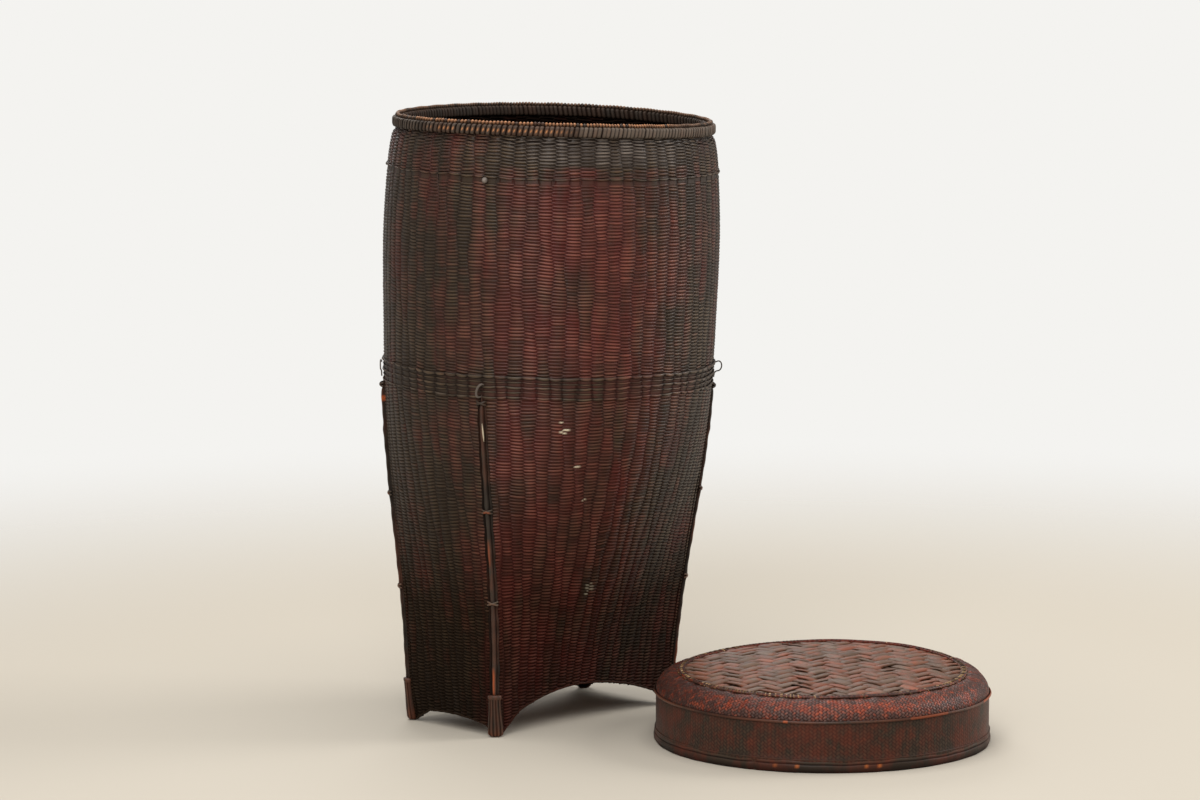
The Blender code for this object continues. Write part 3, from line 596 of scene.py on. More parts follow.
def makeWeft():
    first = len(evenLevels("hemBottom", "hemTop"))
    levels = evenLevels("hemTop", "bandLow")
    low = [weftRow(first + i, height) for i, height in enumerate(levels)]
    first += len(levels)
    levels = evenLevels("bandHigh", "stripLow") + evenLevels("stripHigh", "top")
    high = [weftRow(first + i, height) for i, height in enumerate(levels)]
    hemRows = weave["rowsInHemPiece"]
    third, half = (len(low) + hemRows) // 2, len(high) // 2
    return {
        "weftHem": (makeHemRows() + low[:hemRows], "wall_lower"),
        "weftLow": (low[hemRows:third], "wall_lower"),
        "weftMiddle": (low[third:], "wall_lower"),
        "weftBelly": (high[:half], "wall_upper"),
        "weftShoulder": (high[half:], "wall_upper"),
    }


for name, (sheets, node) in makeWeft().items():
    buildPiece(name, sheets, "lacqueredWeave", "basket", node)

# flat stakes inside the weft; their half width is counted in stakes
stake = {
    "bottom": 0.008, "top": 0.5414, "halfWidth": 0.45, "thickness": 0.00022, "step": 0.007,
    "hemGap": 0.0012, "firstStep": 0.002,
}
stakeOutline = ((-1, -1), (-1, 0.6), (0, 1), (1, 0.6), (1, -1))


def makeStakes():
    sheets = []
    bottom, top = stake["bottom"], stake["top"]
    levels = np.linspace(bottom, top, int((top - bottom) / stake["step"]))
    for place in range(stakeCount):
        foot = float(hemHeight(stakeTurn(place + 0.5, weave["hemSection"]))) + stake["hemGap"]
        height = np.concatenate([[foot], levels[levels > foot + stake["firstStep"]]])
        sides = place + 0.5 + stake["halfWidth"] * np.array([-1, 0, 1])
        left, middle, right = np.array([stakeTurn(sides, z) for z in height]).T
        path, left, right = [wallPoint(turn, height, weave["middle"]) for turn in (middle, left, right)]
        half = 0.5 * np.linalg.norm(right - left, axis=1)
        sheet = strand(path, wallNormal(middle, height), half, stake["thickness"], stakeOutline)
        sheet["proud"] = 0.6 * sheet["proud"]
        sheet["tone"] = 0.2 + 0.4 * chance.rand()
        sheet["paint"] = lacquerAndSheen(middle, height) + 0.2 * columnShare(columnPaint, place, height)
        sheets.append(sheet)
    return sheets


buildPiece("stakes", makeStakes(), "lacqueredWeave", "basket", "wall_lower", "wall_upper")

# twined rows at the waist and the shoulder, as (height, size)
twine = {
    "waist": ((0.3073, 0.8), (0.3119, 0.55), (0.3163, 0.9), (0.3207, 0.55), (0.3252, 1.15)),
    "shoulder": ((0.5000, 0.7),), "halfWidth": 0.0015, "thickness": 0.0013, "arc": -0.0006, "tilt": 0.0004,
    "out": 0.0003, "dip": 0.0006,
    # waves of a row, as (how many round the wall, their turn with the height, size)
    "waves": ((7, 50, 0.0005), (23, 900, 0.0003)),
    # they sink into the weave on the left short side
    "sunkAt": (150, 188, 14, 14), "sunk": 0.45,
}
strip = {
    "waist": (0.3054, 0.3268), "shoulder": (0.4938, 0.5000), "rows": 9,
    "outside": -0.0009, "inside": -0.0024, "bump": 0.0003,
}


# places round the wall, counted in stakes, and how far each lies across its stake, from -1 to 1
def roundTheWall():
    places = np.arange(stakeCount * 6 + 1) / 6
    return places, 2 * (places - np.floor(places) - 0.5)


# a thicker row that rides over every stake, wavy, with a dark gap under it
def twinedRow(height, size):
    places, across = roundTheWall()
    level = height + size * twine["arc"] * (0.5 - across**2)
    level = level + sum(deep * wave(places, count, turn * height) for count, turn, deep in twine["waves"])
    level = level + twine["tilt"] * columnShare(columnTilt, places, height) * across
    level[-1] = level[0]
    turns = stakeTurn(places, height)
    path = wallPoint(turns, level, twine["out"] * size - twine["dip"] * across**2)
    size = size * (1 - twine["sunk"] * stretch(inDegrees(turns), *twine["sunkAt"]))
    half = twine["halfWidth"] * size * (1 - 0.2 * across**2)
    sheet = strand(path, wallNormal(turns, level), half, twine["thickness"] * size, lens, True)
    sheet["proud"] = sheet["proud"] * (1 - 0.7 * across**2)[None]
    sheet["tone"] = np.clip(0.55 + 0.25 * columnShare(columnTone, places, height), 0, 1)
    sheet["paint"] = 0.7 * lacquerAndSheen(turns, level) - 0.15 + 0.25 * columnShare(columnPaint, places, height)
    return sheet


# smooth strip behind the twined rows, where stakes show as soft bumps
def makeStrip(low, high):
    places, across = roundTheWall()
    levels = np.linspace(low, high, strip["rows"])
    outer, inner = [], []
    for level in levels:
        turns = stakeTurn(places, level)
        outer.append(wallPoint(turns, level, strip["outside"] + strip["bump"] * (1 - across**2)))
        inner.append(wallPoint(turns, level, strip["inside"]))
    at = np.array(outer + inner[::-1] + outer[:1])
    proud = np.tile(0.36 + 0.2 * (1 - across**2), (len(at), 1))
    proud[strip["rows"]:-1] = 0.3
    turns = stakeTurn(places, levels[strip["rows"] // 2])[None]
    height = np.concatenate([levels, levels[::-1], [low]])[:, None]
    paint = lacquerAndSheen(turns, height) + 0.09 * columnShare(columnPaint, places[None], height) - 0.12
    tone = np.clip(0.4 + 0.12 * columnShare(columnTone, places[None], height), 0, 1)
    return {"at": at, "proud": proud, "tone": tone, "paint": paint, "scuff": 0.0}


for zone, nodes in (("waist", ("waist_band_upper", "waist_band_lower")), ("shoulder", ("shoulder_band",))):
    sheets = [makeStrip(*strip[zone])] + [twinedRow(*row) for row in twine[zone]]
    buildPiece(zone + "Twining", sheets, "lacqueredWeave", "basket", *nodes)


# folded hem of the weave, which swells and sinks from stake to stake
foldedHem = {"halfWidth": 0.0012, "swell": 0.0002, "rise": 0.0003, "thickness": 0.0010}


def makeHem():
    places, _ = roundTheWall()
    turns = stakeTurn(places, weave["hemSection"])
    swell = np.sin(places * math.tau)
    level = hemHeight(turns) + weave["hemGap"] + foldedHem["rise"] * swell
    path, out = wallPoint(turns, level, weave["middle"]), wallNormal(turns, level)
    half = foldedHem["halfWidth"] + foldedHem["swell"] * swell
    paint = lacquerAndSheen(turns, level)
    return strand(path, out, half, foldedHem["thickness"], roundSection(8), True, tone=0.3, paint=paint)


buildPiece("foldedHem", [makeHem()], "lacqueredWeave", "basket", "wall_lower")

# rim: hoops, broad cane wraps, and a thin beaded edge on top
rim = {
    "inside": 0.1372, "outside": 0.1456, "bottom": 0.5365, "top": 0.5455, "squareness": 0.42,
    "wraps": 200, "wrapThickness": 0.0007, "wrapHalfWidth": 0.00226, "lean": 0.35,
    "wrapSeat": 0.0006, "beads": 278, "beadRadius": 0.0020, "beadHeight": 0.5468, "beadInset": 0.0004,
    "beadWander": 0.0002, "coreDrop": 0.0012, "coreHalfWidth": 0.0014, "coreThickness": 0.0013,
    # stretches in degrees as (from, to, rise, fall): where the wraps and the beads are rubbed most
    "rubbedWraps": (182, 238, 7, 12), "rubbedBeads": (172, 288, 8, 10), "sheenFrom": 4.15,
}
rim["middle"] = 0.5 * (rim["inside"] + rim["outside"])
wrapOutline = ((-1, -0.5), (-0.8, 0.4), (-0.42, 0.9), (0, 1), (0.42, 0.9), (0.8, 0.4), (1, -0.5), (0, -0.6))
wrapRubbed = (0, 0, 0.1, 1, 0.1, 0, 0, 0, 0)


# rounded box round the hoops, as radius, height and the way out of it
def rimLoop(inset, count):
    high = 0.5 * (rim["top"] - rim["bottom"]) - inset
    wide = 0.5 * (rim["outside"] - rim["inside"]) - inset
    turn = np.linspace(0, math.tau, count + 1)
    c, q = np.cos(turn), np.sin(turn)
    radius = rim["middle"] + wide * np.sign(c) * np.abs(c) ** rim["squareness"]
    height = 0.5 * (rim["bottom"] + rim["top"]) + high * np.sign(q) * np.abs(q) ** rim["squareness"]
    return radius, height, c, q


def makeRimCore():
    radius, height, _, _ = rimLoop(rim["wrapThickness"], 14)
    at = rimPoint(np.linspace(0, math.tau, 241)[None], radius[::-1, None], height[::-1, None])
    return {"at": at, "proud": 0.1, "tone": 0.3, "paint": 0.2, "scuff": 0.0}


# rubbed most on the front left, where the orange cane skin shows
def rimPaint(turn):
    return 0.04 + 0.9 * stretch(inDegrees(turn), *rim["rubbedWraps"])


def makeRimWraps():
    sheets = []
    pitch = math.tau / rim["wraps"]
    radius, height, c, q = rimLoop(rim["wrapSeat"], 26)
    tops = (height - height.min()) / (height.max() - height.min()) - 0.5
    dash = np.clip(1.3 - np.abs(tops / 0.25) ** 3, 0, 1) * (c > 0.3)
    for i in range(rim["wraps"]):
        turn = (i + 0.05 * chance.normal()) * pitch
        turns = turn + rim["lean"] * pitch * tops
        path = rimPoint(turns, radius, height)
        away = rimPoint(turns, radius + 0.001 * c, height + 0.001 * q) - path
        half = rim["wrapHalfWidth"] * (1 + 0.04 * chance.normal())
        thickness = rim["wrapThickness"] * (1 + 0.15 * chance.normal())
        sheet = strand(path, away, half, thickness, wrapOutline, True)
        # painted shade: the inside of the mouth is darker and shines less
        sheet["proud"] = sheet["proud"] * np.clip(0.85 + 0.5 * c, 0.5, 1)[None]
        # painted sheen: past that azimuth the crests of the wraps are paler
        sheet["tone"] = 0.05 + 0.25 * chance.rand() + 0.35 * (turn > rim["sheenFrom"])
        sheet["paint"] = 0.2 * rimPaint(turn) + 0.2 * chance.rand()
        rubbed = rimPaint(turn) * (chance.rand() > 0.22) * chance.uniform(0.6, 1.0)
        sheet["scuff"] = np.array(wrapRubbed)[:, None] * dash[None] * rubbed
        sheets.append(sheet)
    return sheets


def upright(count):
    return np.tile([0.0, 0.0, 1.0], (count, 1))


def makeRimBeads():
    places = np.arange(rim["beads"] * 6 + 1) / 6
    turns = places / rim["beads"] * math.tau
    swell = np.abs(np.cos(math.pi * places)) ** 0.6
    height = rim["beadHeight"] + rim["beadWander"] * np.sin(turns * 31)
    path = rimPoint(turns, rim["middle"] - rim["beadInset"], height)
    radius = rim["beadRadius"] * (0.40 + 0.60 * swell)
    sheet = strand(path, upright(len(path)), radius, radius, roundSection(8), True)
    sheet["proud"] = (0.1 + 0.9 * swell)[None] * (0.5 + 0.5 * sheet["proud"])
    marks = chance.rand(rim["beads"] + 1)[np.round(places).astype(int)]
    sheet["tone"] = 0.1 + 0.4 * marks
    sheet["paint"] = 0.35 * rimPaint(turns) + 0.1
    worn = (0.18 + 0.5 * stretch(inDegrees(turns), *rim["rubbedBeads"])) * (0.5 + 0.5 * marks)
    sheet["scuff"] = sheet["proud"] ** 2 * (worn * (marks > 0.2) * (swell > 0.6))[None]
    return sheet


# closed ring that carries the beads, so no light comes between them and the wraps
def makeBeadCore():
    turns = np.linspace(0, math.tau, 361)
    path = rimPoint(turns, rim["middle"] - rim["beadInset"], rim["beadHeight"] - rim["coreDrop"])
    half, thickness = rim["coreHalfWidth"], rim["coreThickness"]
    marks = {"proud": 0.1, "tone": 0.2, "paint": 0.1}
    return strand(path, upright(len(path)), half, thickness, roundSection(8), True, **marks)


buildPiece("rimCore", [makeRimCore()], "rubbedRimCane", "basket", "rim_outer_hoop", "rim_inner_hoop")
buildPiece("rimWraps", makeRimWraps(), "rubbedRimCane", "basket", "rim_lashing")
buildPiece("rimBeads", [makeRimBeads(), makeBeadCore()], "rubbedRimCane", "basket", "rim_top_cane")

# posts, ties, feet, strap loops and pegs at the corners
post = {
    "halfWidth": 0.0044, "thickness": 0.0036, "seat": -0.0014, "bottom": 0.0380, "top": 0.3088,
    "knots": (0.122, 0.205, 0.262), "knotLength": 0.0035, "taperLength": 0.012,
    # rust-orange skin left along the edge of the cane, as (height, half length, strength), most on the
    # front post, and a nick on the left one
    "rust": ((0.050, 0.014, 1.2), (0.167, 0.013, 1.1)), "frontRust": 1.0, "otherRust": 0.55,
    "nick": (0.2905, 0.0022),
}
sliver = {
    "heights": (0.268, 0.284), "aside": (0.012, 0.006), "out": 0.0035,
    "halfWidth": 0.0008, "thickness": 0.0004,
}
tie = {
    "heights": {"low": 0.122, "middle": 0.205, "top": 0.30185}, "halfWidth": 0.00105, "thickness": 0.0007,
    # how much each is rubbed, and its tone
    "worn": {"low": (0.12, 0.9), "middle": (0.55, 0.4), "top": (0.0, 0.15)},
    "reach": 0.0046, "slant": 0.0016, "clearance": 0.0002, "sink": -0.0004,
}
foot = {
    "depth": 0.0062, "neckDepth": 0.0048, "halfWidth": 0.0062, "neckHalfWidth": 0.0050, "seat": -0.0010,
    "endHalfWidth": 0.0005, "tipHeight": 0.012, "frontPoints": 33, "backStep": 8,
    "levels": (
        0.0, 0.0002, 0.0008, 0.0018, 0.0032, 0.006, 0.009, 0.013, 0.017, 0.021, 0.025, 0.029, 0.0325,
        0.0344, 0.0350, 0.0358, 0.0370, 0.0381, 0.0386, 0.0388,
    ),
    # as (height, value): the share of the foot's own width, the collar's swell, the rounding of the sole
    "width": ((0, 1), (0.010, 0.9), (0.024, 0.15), (0.035, 0), (0.039, 0)),
    "collar": ((0.0346, 0), (0.0352, 0.0004), (0.0368, 0.0007), (0.0381, 0.0004), (0.0388, -0.0016)),
    "sole": ((0, 0.0042), (0.0002, 0.0030), (0.0008, 0.0016), (0.0018, 0.0006), (0.0032, 0)),
}
# a loop is an eye of cane, seat to far off the wall; it starts in the twining, goes round through the
# heights of its eye and ends on the post
loop = {
    "radius": 0.00062, "seat": 0.00215, "far": 0.00845, "rise": 0.0100, "low": 0.3141,
    "start": 0.0012, "startDrop": 0.0011, "endHeights": (0.3147, 0.3131, 0.3092), "endSink": 0.0004,
}
hook = {
    "radius": 0.0011, "height": 0.3128, "rise": 0.0058, "wide": 0.0030, "slant": 0.0016,
    "seat": 0.0010, "reach": 0.0034, "degrees": (62, 292),
}
peg = {"radius": 0.0025, "length": 0.0038, "height": 0.500, "frontHeight": 0.4970, "seat": -0.0008}
pegRounding = np.array([0, 0.02, 0.15, 0.35, 0.55, 0.75, 0.9, 0.98, 1.0])
# a split cane between two flat strips, as (place across, how far out it stands, rubbing and painted shade)
# the strip at negative places is darker than the other one, a painted shade on that side of the post
postSection = (
    (-1, 0, 0), (-0.97, 0.36, 0.05), (-0.62, 0.46, 0.08), (-0.5, 0.22, 0), (-0.4, 0.66, 0.3),
    (-0.15, 0.96, 0.75), (0.15, 0.96, 0.75), (0.4, 0.66, 0.3), (0.5, 0.22, 0), (0.62, 0.46, 0.34),
    (0.97, 0.36, 0.3), (1, 0, 0.1),
)
postOutline = tuple(point[:2] for point in postSection)
postProud = np.array([point[2] for point in postSection] + [0.1])[:, None]


# azimuth at a distance along the section from a corner
def besideCorner(corner, height, distance):
    turns = corners[corner] + np.linspace(-0.5, 0.5, 401)
    points = section(turns, np.full_like(turns, height))
    walked = np.concatenate([[0], np.cumsum(np.linalg.norm(np.diff(points, axis=0), axis=1))])
    return np.interp(distance + walked[len(turns) // 2], walked, turns)


def makePost(corner):
    levels = np.linspace(post["bottom"], post["top"], 120)
    turn = corners[corner]
    path = wallPoint(turn, levels, post["seat"])
    swell = sum(np.exp(-((levels - knot) / post["knotLength"]) ** 2) for knot in post["knots"])
    drift = 0.06 * np.sin(levels * 170 + turn) + 0.05 * np.sin(levels * 420 + 2 * turn)
    taper = np.clip((post["top"] - levels) / post["taperLength"], 0.55, 1)
    half = post["halfWidth"] * taper * (1 + drift + 0.08 * swell)
    thickness = (post["thickness"] - post["seat"]) * taper * (0.90 + 0.6 * drift + 0.10 * swell)
    proud = postProud * (0.85 + 0.15 * np.sin(levels * 300))[None]
    lower, upper = [
        np.clip(strength - np.abs((levels - height) / length) ** 2, 0, 1)
        for height, length, strength in post["rust"]
    ]
    crest = np.array([0, 0, 0, 0, 0.15, 0.9, 0.15, 0, 0, 0, 0, 0, 0])[:, None]
    share = post["frontRust" if corner == "front" else "otherRust"]
    scuff = crest * np.clip(lower + 0.55 * upper, 0, 1)[None] * share
    if corner == "left":
        height, length = post["nick"]
        scuff = np.maximum(scuff, (np.abs(levels - height) < length)[None] * (proud > 0.2) * 0.75)
    return strand(
        path, wallNormal(turn, levels), half, thickness, postOutline, proud=proud, scuff=scuff,
        tone=0.10 + 0.12 * np.sin(levels * 60 + turn * 3), paint=0.22 + 0.25 * np.sin(levels * 35 + turn),
    )


# sliver of pale cane where the skin has peeled off the front post
def makeSliver():
    levels = np.linspace(*sliver["heights"], 9)
    turns = corners["front"] + np.linspace(*sliver["aside"], 9)
    path = wallPoint(turns, levels, sliver["out"])
    half = sliver["halfWidth"] * np.sin(np.linspace(0.3, 2.9, 9))
    return strand(
        path, wallNormal(turns, levels), half, sliver["thickness"], proud=1.0, tone=1.0, paint=0.0, scuff=0.7
    )


# a cane stitch over the post: it rises from the wall on one side and goes back in on the other
def makeTie(corner, where):
    sheets = []
    height, turn = tie["heights"][where], corners[corner]
    worn, tone = tie["worn"][where]
    middle, out = wallPoint(turn, height, post["seat"]), wallNormal(turn, height)
    along = np.array([-out[1], out[0], 0.0])
    side = np.linspace(-1, 1, 15)
    across = side * tie["reach"] / post["halfWidth"]
    high = np.sqrt(np.clip(1 - (across / 1.2) ** 2, 0, 1)) * (post["thickness"] - post["seat"]) * 1.02
    arch = across[:, None] * post["halfWidth"] * along + (high + tie["clearance"])[:, None] * out
    share = ramp(np.abs(across), 0.92, 0.4)[:, None]
    for slant in (-1, 1):
        rise = slant * side * tie["slant"]
        over = middle + arch + rise[:, None] * np.array([0, 0, 1.0])
        wall = wallPoint(besideCorner(corner, height, side * tie["reach"]), height + rise, tie["sink"])
        away = out[None] + side[:, None] * along * 1.2
        sheets.append(strand(
            over * (1 - share) + wall * share, away, tie["halfWidth"], tie["thickness"],
            tone=tone, paint=0.1 + 0.4 * tone * chance.rand(),
            scuff=worn * np.clip(1 - np.abs(side + 0.25 * slant) / 0.5, 0, 1),
        ))
    return sheets


# a flat-backed foot with a rounded sole and cane wrapped round its top, hugging the corner
def makeFoot(corner):
    levels = np.array(foot["levels"])
    waist, collar, soft = [np.interp(levels, *zip(*foot[key])) for key in ("width", "collar", "sole")]
    half = foot["neckHalfWidth"] + (foot["halfWidth"] - foot["neckHalfWidth"]) * waist + collar - soft
    deep = foot["neckDepth"] + (foot["depth"] - foot["neckDepth"]) * waist + collar - soft
    half[0], half[-1] = foot["endHalfWidth"], foot["endHalfWidth"]
    around = np.linspace(-1, 1, foot["frontPoints"])
    fibres = np.cos(around * 17 + 0.6) + 0.6 * np.cos(around * 41)
    rows = []
    for a, fibre in zip(around, fibres):
        bulge = 0.30 + 0.70 * np.sqrt(np.clip(1 - abs(a) ** 2.6, 0, 1)) * (1 + 0.045 * fibre * (collar <= 0))
        rows.append((a * half, foot["seat"] + bulge * (deep - foot["seat"])))
    for a in around[::-foot["backStep"]]:
        rows.append((a * half, np.full_like(half, foot["seat"])))
    rows.append(rows[0])
    aside, outward = np.array(rows).transpose(1, 2, 0)
    at = np.stack([
        wallPoint(besideCorner(corner, z, aside[j]), z, outward[j]) for j, z in enumerate(levels)
    ], 1)
    at[:, 0], at[:, -1] = at[:, 0].mean(0), at[:, -1].mean(0)
    at[..., 2] = np.maximum(at[..., 2], 0.0)
    back = len(rows) - len(around)
    grain = np.append(0.36 + 0.28 * fibres, [0.2] * back)[:, None]
    smear = np.append(0.45 + 0.25 * np.sin(around * 9), [0.3] * back)[:, None]
    wrap, tip = (collar > 0)[None], ramp(levels, foot["tipHeight"], -foot["tipHeight"])[None]
    proud, tone = np.clip(np.where(wrap, 0.5, grain), 0, 1), np.where(wrap, 0.45, 0.3 + 0.3 * tip)
    scuff = 0.22 * tip * np.clip(grain, 0, 1)
    return {"at": at, "proud": proud, "tone": tone, "paint": smear + 0.2 * tip, "scuff": scuff}


# the front loop is broken and hangs as a hook, and the left one is pressed against the wall
def makeLoop(corner):
    turn = corners[corner]
    out = wallNormal(turn, loop["low"])
    along = np.cross(out, [0, 0, 1.0])
    if corner == "front":
        t = np.radians(np.linspace(*hook["degrees"], 19))
        size = hook["radius"] * np.interp(t, [1.1, 1.9, 4.2, 5.1], [0.5, 1, 1, 0.6])
        aside = -hook["wide"] * np.cos(t) - hook["slant"] * np.sin(t)
        height = hook["height"] + hook["rise"] * np.sin(t)
        across = hook["seat"] + hook["reach"] * np.sin(np.linspace(0, math.pi, 19)) ** 0.6
        path = wallPoint(turn, height, across) + along * aside[:, None]
    else:
        seat, far, low, rise, size = [loop[key] for key in ("seat", "far", "low", "rise", "radius")]
        t = math.pi * (0.62 - 1.12 * np.linspace(0, 1, 25))
        across = 0.5 * (seat + far) + 0.5 * (far - seat) * np.cos(t)
        height = low + 0.55 * rise + 0.45 * rise * np.sin(t)
        starts = [seat - loop["start"], seat]
        ends = [seat + 0.25 * (far - seat), seat, seat - loop["endSink"]]
        across = np.concatenate([starts, across, ends])
        top = low + rise - loop["startDrop"]
        height = np.concatenate([[top - loop["start"], top], height, loop["endHeights"]])
        path, out = wallPoint(turn, height, across), along
        if corner == "left":
            path = wallPoint(turn, height, seat + 0.2 * (across - seat))
            path = path - along * (0.9 * np.clip(across - seat, 0, 1))[:, None]
            out = along + [0, 0, 0.2]
    tone = 0.6 if corner in ("front", "left") else 0.3
    out = np.broadcast_to(out, path.shape)
    return strand(path, out, size, size, roundSection(8), proud=0.8, tone=tone, paint=-0.55)


def makePeg(corner):
    front = corner == "front"
    size, height = (1.1, peg["frontHeight"]) if front else (0.6, peg["height"])
    path = wallPoint(corners[corner], height, peg["seat"] + size * peg["length"] * pegRounding)
    radius = size * peg["radius"] * np.sqrt(np.clip(1 - (1.7 * pegRounding - 0.75) ** 2, 0.02, 1))
    return strand(
        path, upright(len(path)), radius, radius, roundSection(14),
        proud=np.linspace(0.3, 1, 9), tone=0.7 if front else 0.2, paint=-0.8,
    )


for corner in corners:
    ties = {"post_tie_" + corner + "_" + where: makeTie(corner, where) for where in tie["heights"]}
    for name, sheets, nodes in (
        ("post_" + corner, [makePost(corner)], ["corner_post_" + corner]),
        ("ties_" + corner, sum(ties.values(), []), list(ties)),
        ("foot_" + corner + "_cane", [makeFoot(corner)], ["foot_" + corner]),
        ("loop_" + corner, [makeLoop(corner)], ["strap_loop_" + corner]),
        ("peg_" + corner, [makePeg(corner)], ["shoulder_peg_" + corner]),
    ):
        buildPiece(name, sheets, "smokedPostCane", "basket", *nodes)

buildPiece("peeledSliver", [makeSliver()], "lacqueredWeave", "basket", "corner_post_front")

# base inside the foot, plaited over and under: half is half its thickness, and its edge is the wall's
# section at one height less an inset
mat = {
    "middle": 0.0389, "half": 0.0010, "edgeAt": 0.0374, "inset": 0.0024, "splint": 0.0085, "relief": 0.0006,
}


def makeMat():
    a, b = np.meshgrid(np.linspace(-1, 1, 97), np.linspace(-1, 1, 57))
    turn = np.arctan2(b * form["footWidth"], a * form["footLength"])
    share = np.maximum(np.abs(a), np.abs(b))
    edge = section(turn, np.full_like(turn, mat["edgeAt"]))
    radius = np.hypot(edge[..., 0], edge[..., 1]) - mat["inset"]
    x, y = share * radius * np.cos(turn), share * radius * np.sin(turn)
    i, j = np.floor(x / mat["splint"]), np.floor(y / mat["splint"])
    u, v = np.abs(2 * (x / mat["splint"] - i) - 1), np.abs(2 * (y / mat["splint"] - j) - 1)
    over = np.mod(i + j, 2) == 0
    proud = np.where(over, 1 - v**2, 1 - u**2)
    inside = share < 0.999
    thick = mat["half"] + mat["relief"] * proud
    marks = {"proud": proud, "tone": 0.4 + 0.2 * over, "paint": 0.3, "scuff": 0.0}
    heights = [mat["middle"] + sign * thick * inside for sign in (1, -1)]
    return [{"at": leaned(np.stack([x, y, z], -1)), **marks} for z in heights]


buildPiece("plaitedBase", makeMat(), "smokedBambooSplint", "basket", "base_mat")

# the lid lies beside the basket
lid = {
    "at": (0.0458654, -0.1291439), "skirtInside": 0.1461, "skirtOutside": 0.1477, "skirtHeight": 0.0440,
    "shoulderBottom": 0.0443, "shoulderRise": 0.0168, "shoulderInside": 0.1267,
    "shoulderWall": (0.0018, 0.0022), "panelTop": 0.0611, "panelRadius": 0.1264, "dome": 0.0045,
    "warp": 0.0036, "warpHeading": math.radians(18),
}


# the lid's top is warped: it stands up a little at the far right
def lidPoint(turn, radius, height):
    turn, radius, height = np.broadcast_arrays(np.asarray(turn, float), radius, height)
    raised = np.clip(np.cos(turn - lid["warpHeading"]), 0, 1) ** 1.5
    raised = raised * np.clip(radius / lid["shoulderInside"], 0, 1.05) ** 2
    up = lid["warp"] * raised * ramp(height, lid["skirtHeight"], lid["shoulderRise"]) ** 1.5
    x, y = lid["at"][0] + radius * np.cos(turn), lid["at"][1] + radius * np.sin(turn)
    return np.stack([x, y, height + up], -1)


# 2/2 twill on two diagonals: how proud a place is, and a number for the float that it lies on
def twill(across, along):
    u, v = 0.5 * (across + along), 0.5 * (across - along)
    i, j = np.floor(u), np.floor(v)
    fu, fv = u - i, v - j
    phase = np.mod(i + j, 4)
    first = phase < 2
    length = np.where(first, (phase + fv) / 2, (np.mod(phase - 2, 2) + fu) / 2)
    width = np.where(first, fu, fv)
    proud = np.sqrt(np.clip(1 - (2 * width - 1) ** 2, 0, 1)) * np.clip(1 - np.abs(2 * length - 1) ** 3, 0, 1)
    run = np.floor((i + j) / 4)
    mark = np.where(first, i * 7 + run * 31, j * 11 + run * 17 + 5)
    return proud, np.mod(mark, floatChance.shape[1]).astype(int)


# adds the plain inner side to a plaited grid
def closeShell(outer, inner, proud, mark):
    blank = np.zeros(inner.shape[:2], int)
    at = np.concatenate([outer, inner, outer[:1]])
    return at, np.concatenate([proud, blank + 0.5, proud[:1]]), np.concatenate([mark, blank, mark[:1]])


skirtPlait = {
    "cells": 560, "rows": 66, "columns": 1260, "relief": 0.00014,
    "flareAt": 0.0105, "flareLength": 0.006, "flare": 0.0010,
}
shoulderPlait = {
    "cells": 552, "rows": 50, "columns": 1640, "relief": 0.00050, "cellRadius": 0.138, "roundness": 0.9,
    # brightest red on the front, browner to the right, dark to the left, as (heading, spread, share)
    "red": ((232, 34, 0.75), (186, 16, 0.45)), "lightHeading": math.radians(262),
    "lump": 0.0005, "ripple": 0.0003, "innerRows": 8,
}
floatChance = chance.rand(3, 997)


def makeSkirt():
    height = np.linspace(lid["skirtHeight"], 0.0, skirtPlait["rows"])[:, None]
    turns = np.linspace(0, math.tau, skirtPlait["columns"] + 1)[None]
    cell = math.tau * lid["skirtOutside"] / skirtPlait["cells"]
    proud, mark = twill(turns / math.tau * skirtPlait["cells"], height / cell)
    # the lower edge flares over the hem
    beside = np.abs(height - skirtPlait["flareAt"]) / skirtPlait["flareLength"]
    flare = skirtPlait["flare"] * np.clip(1 - beside, 0, 1) ** 2
    outer = lidPoint(turns, lid["skirtOutside"] - skirtPlait["relief"] * (1 - proud) + flare, height)
    inner = lidPoint(turns, lid["skirtInside"], np.linspace(0.0, lid["skirtHeight"], 8)[:, None])
    at, proud, mark = closeShell(outer, inner, proud, mark)
    paint = 0.40 + 0.16 * np.sin(turns * 5 + 1) + 0.3 * (floatChance[1][mark] - 0.5)
    tone = 0.25 + 0.3 * floatChance[0][mark]
    return {"at": at, "proud": 0.35 + 0.65 * proud, "tone": tone, "paint": paint, "scuff": 0.0}


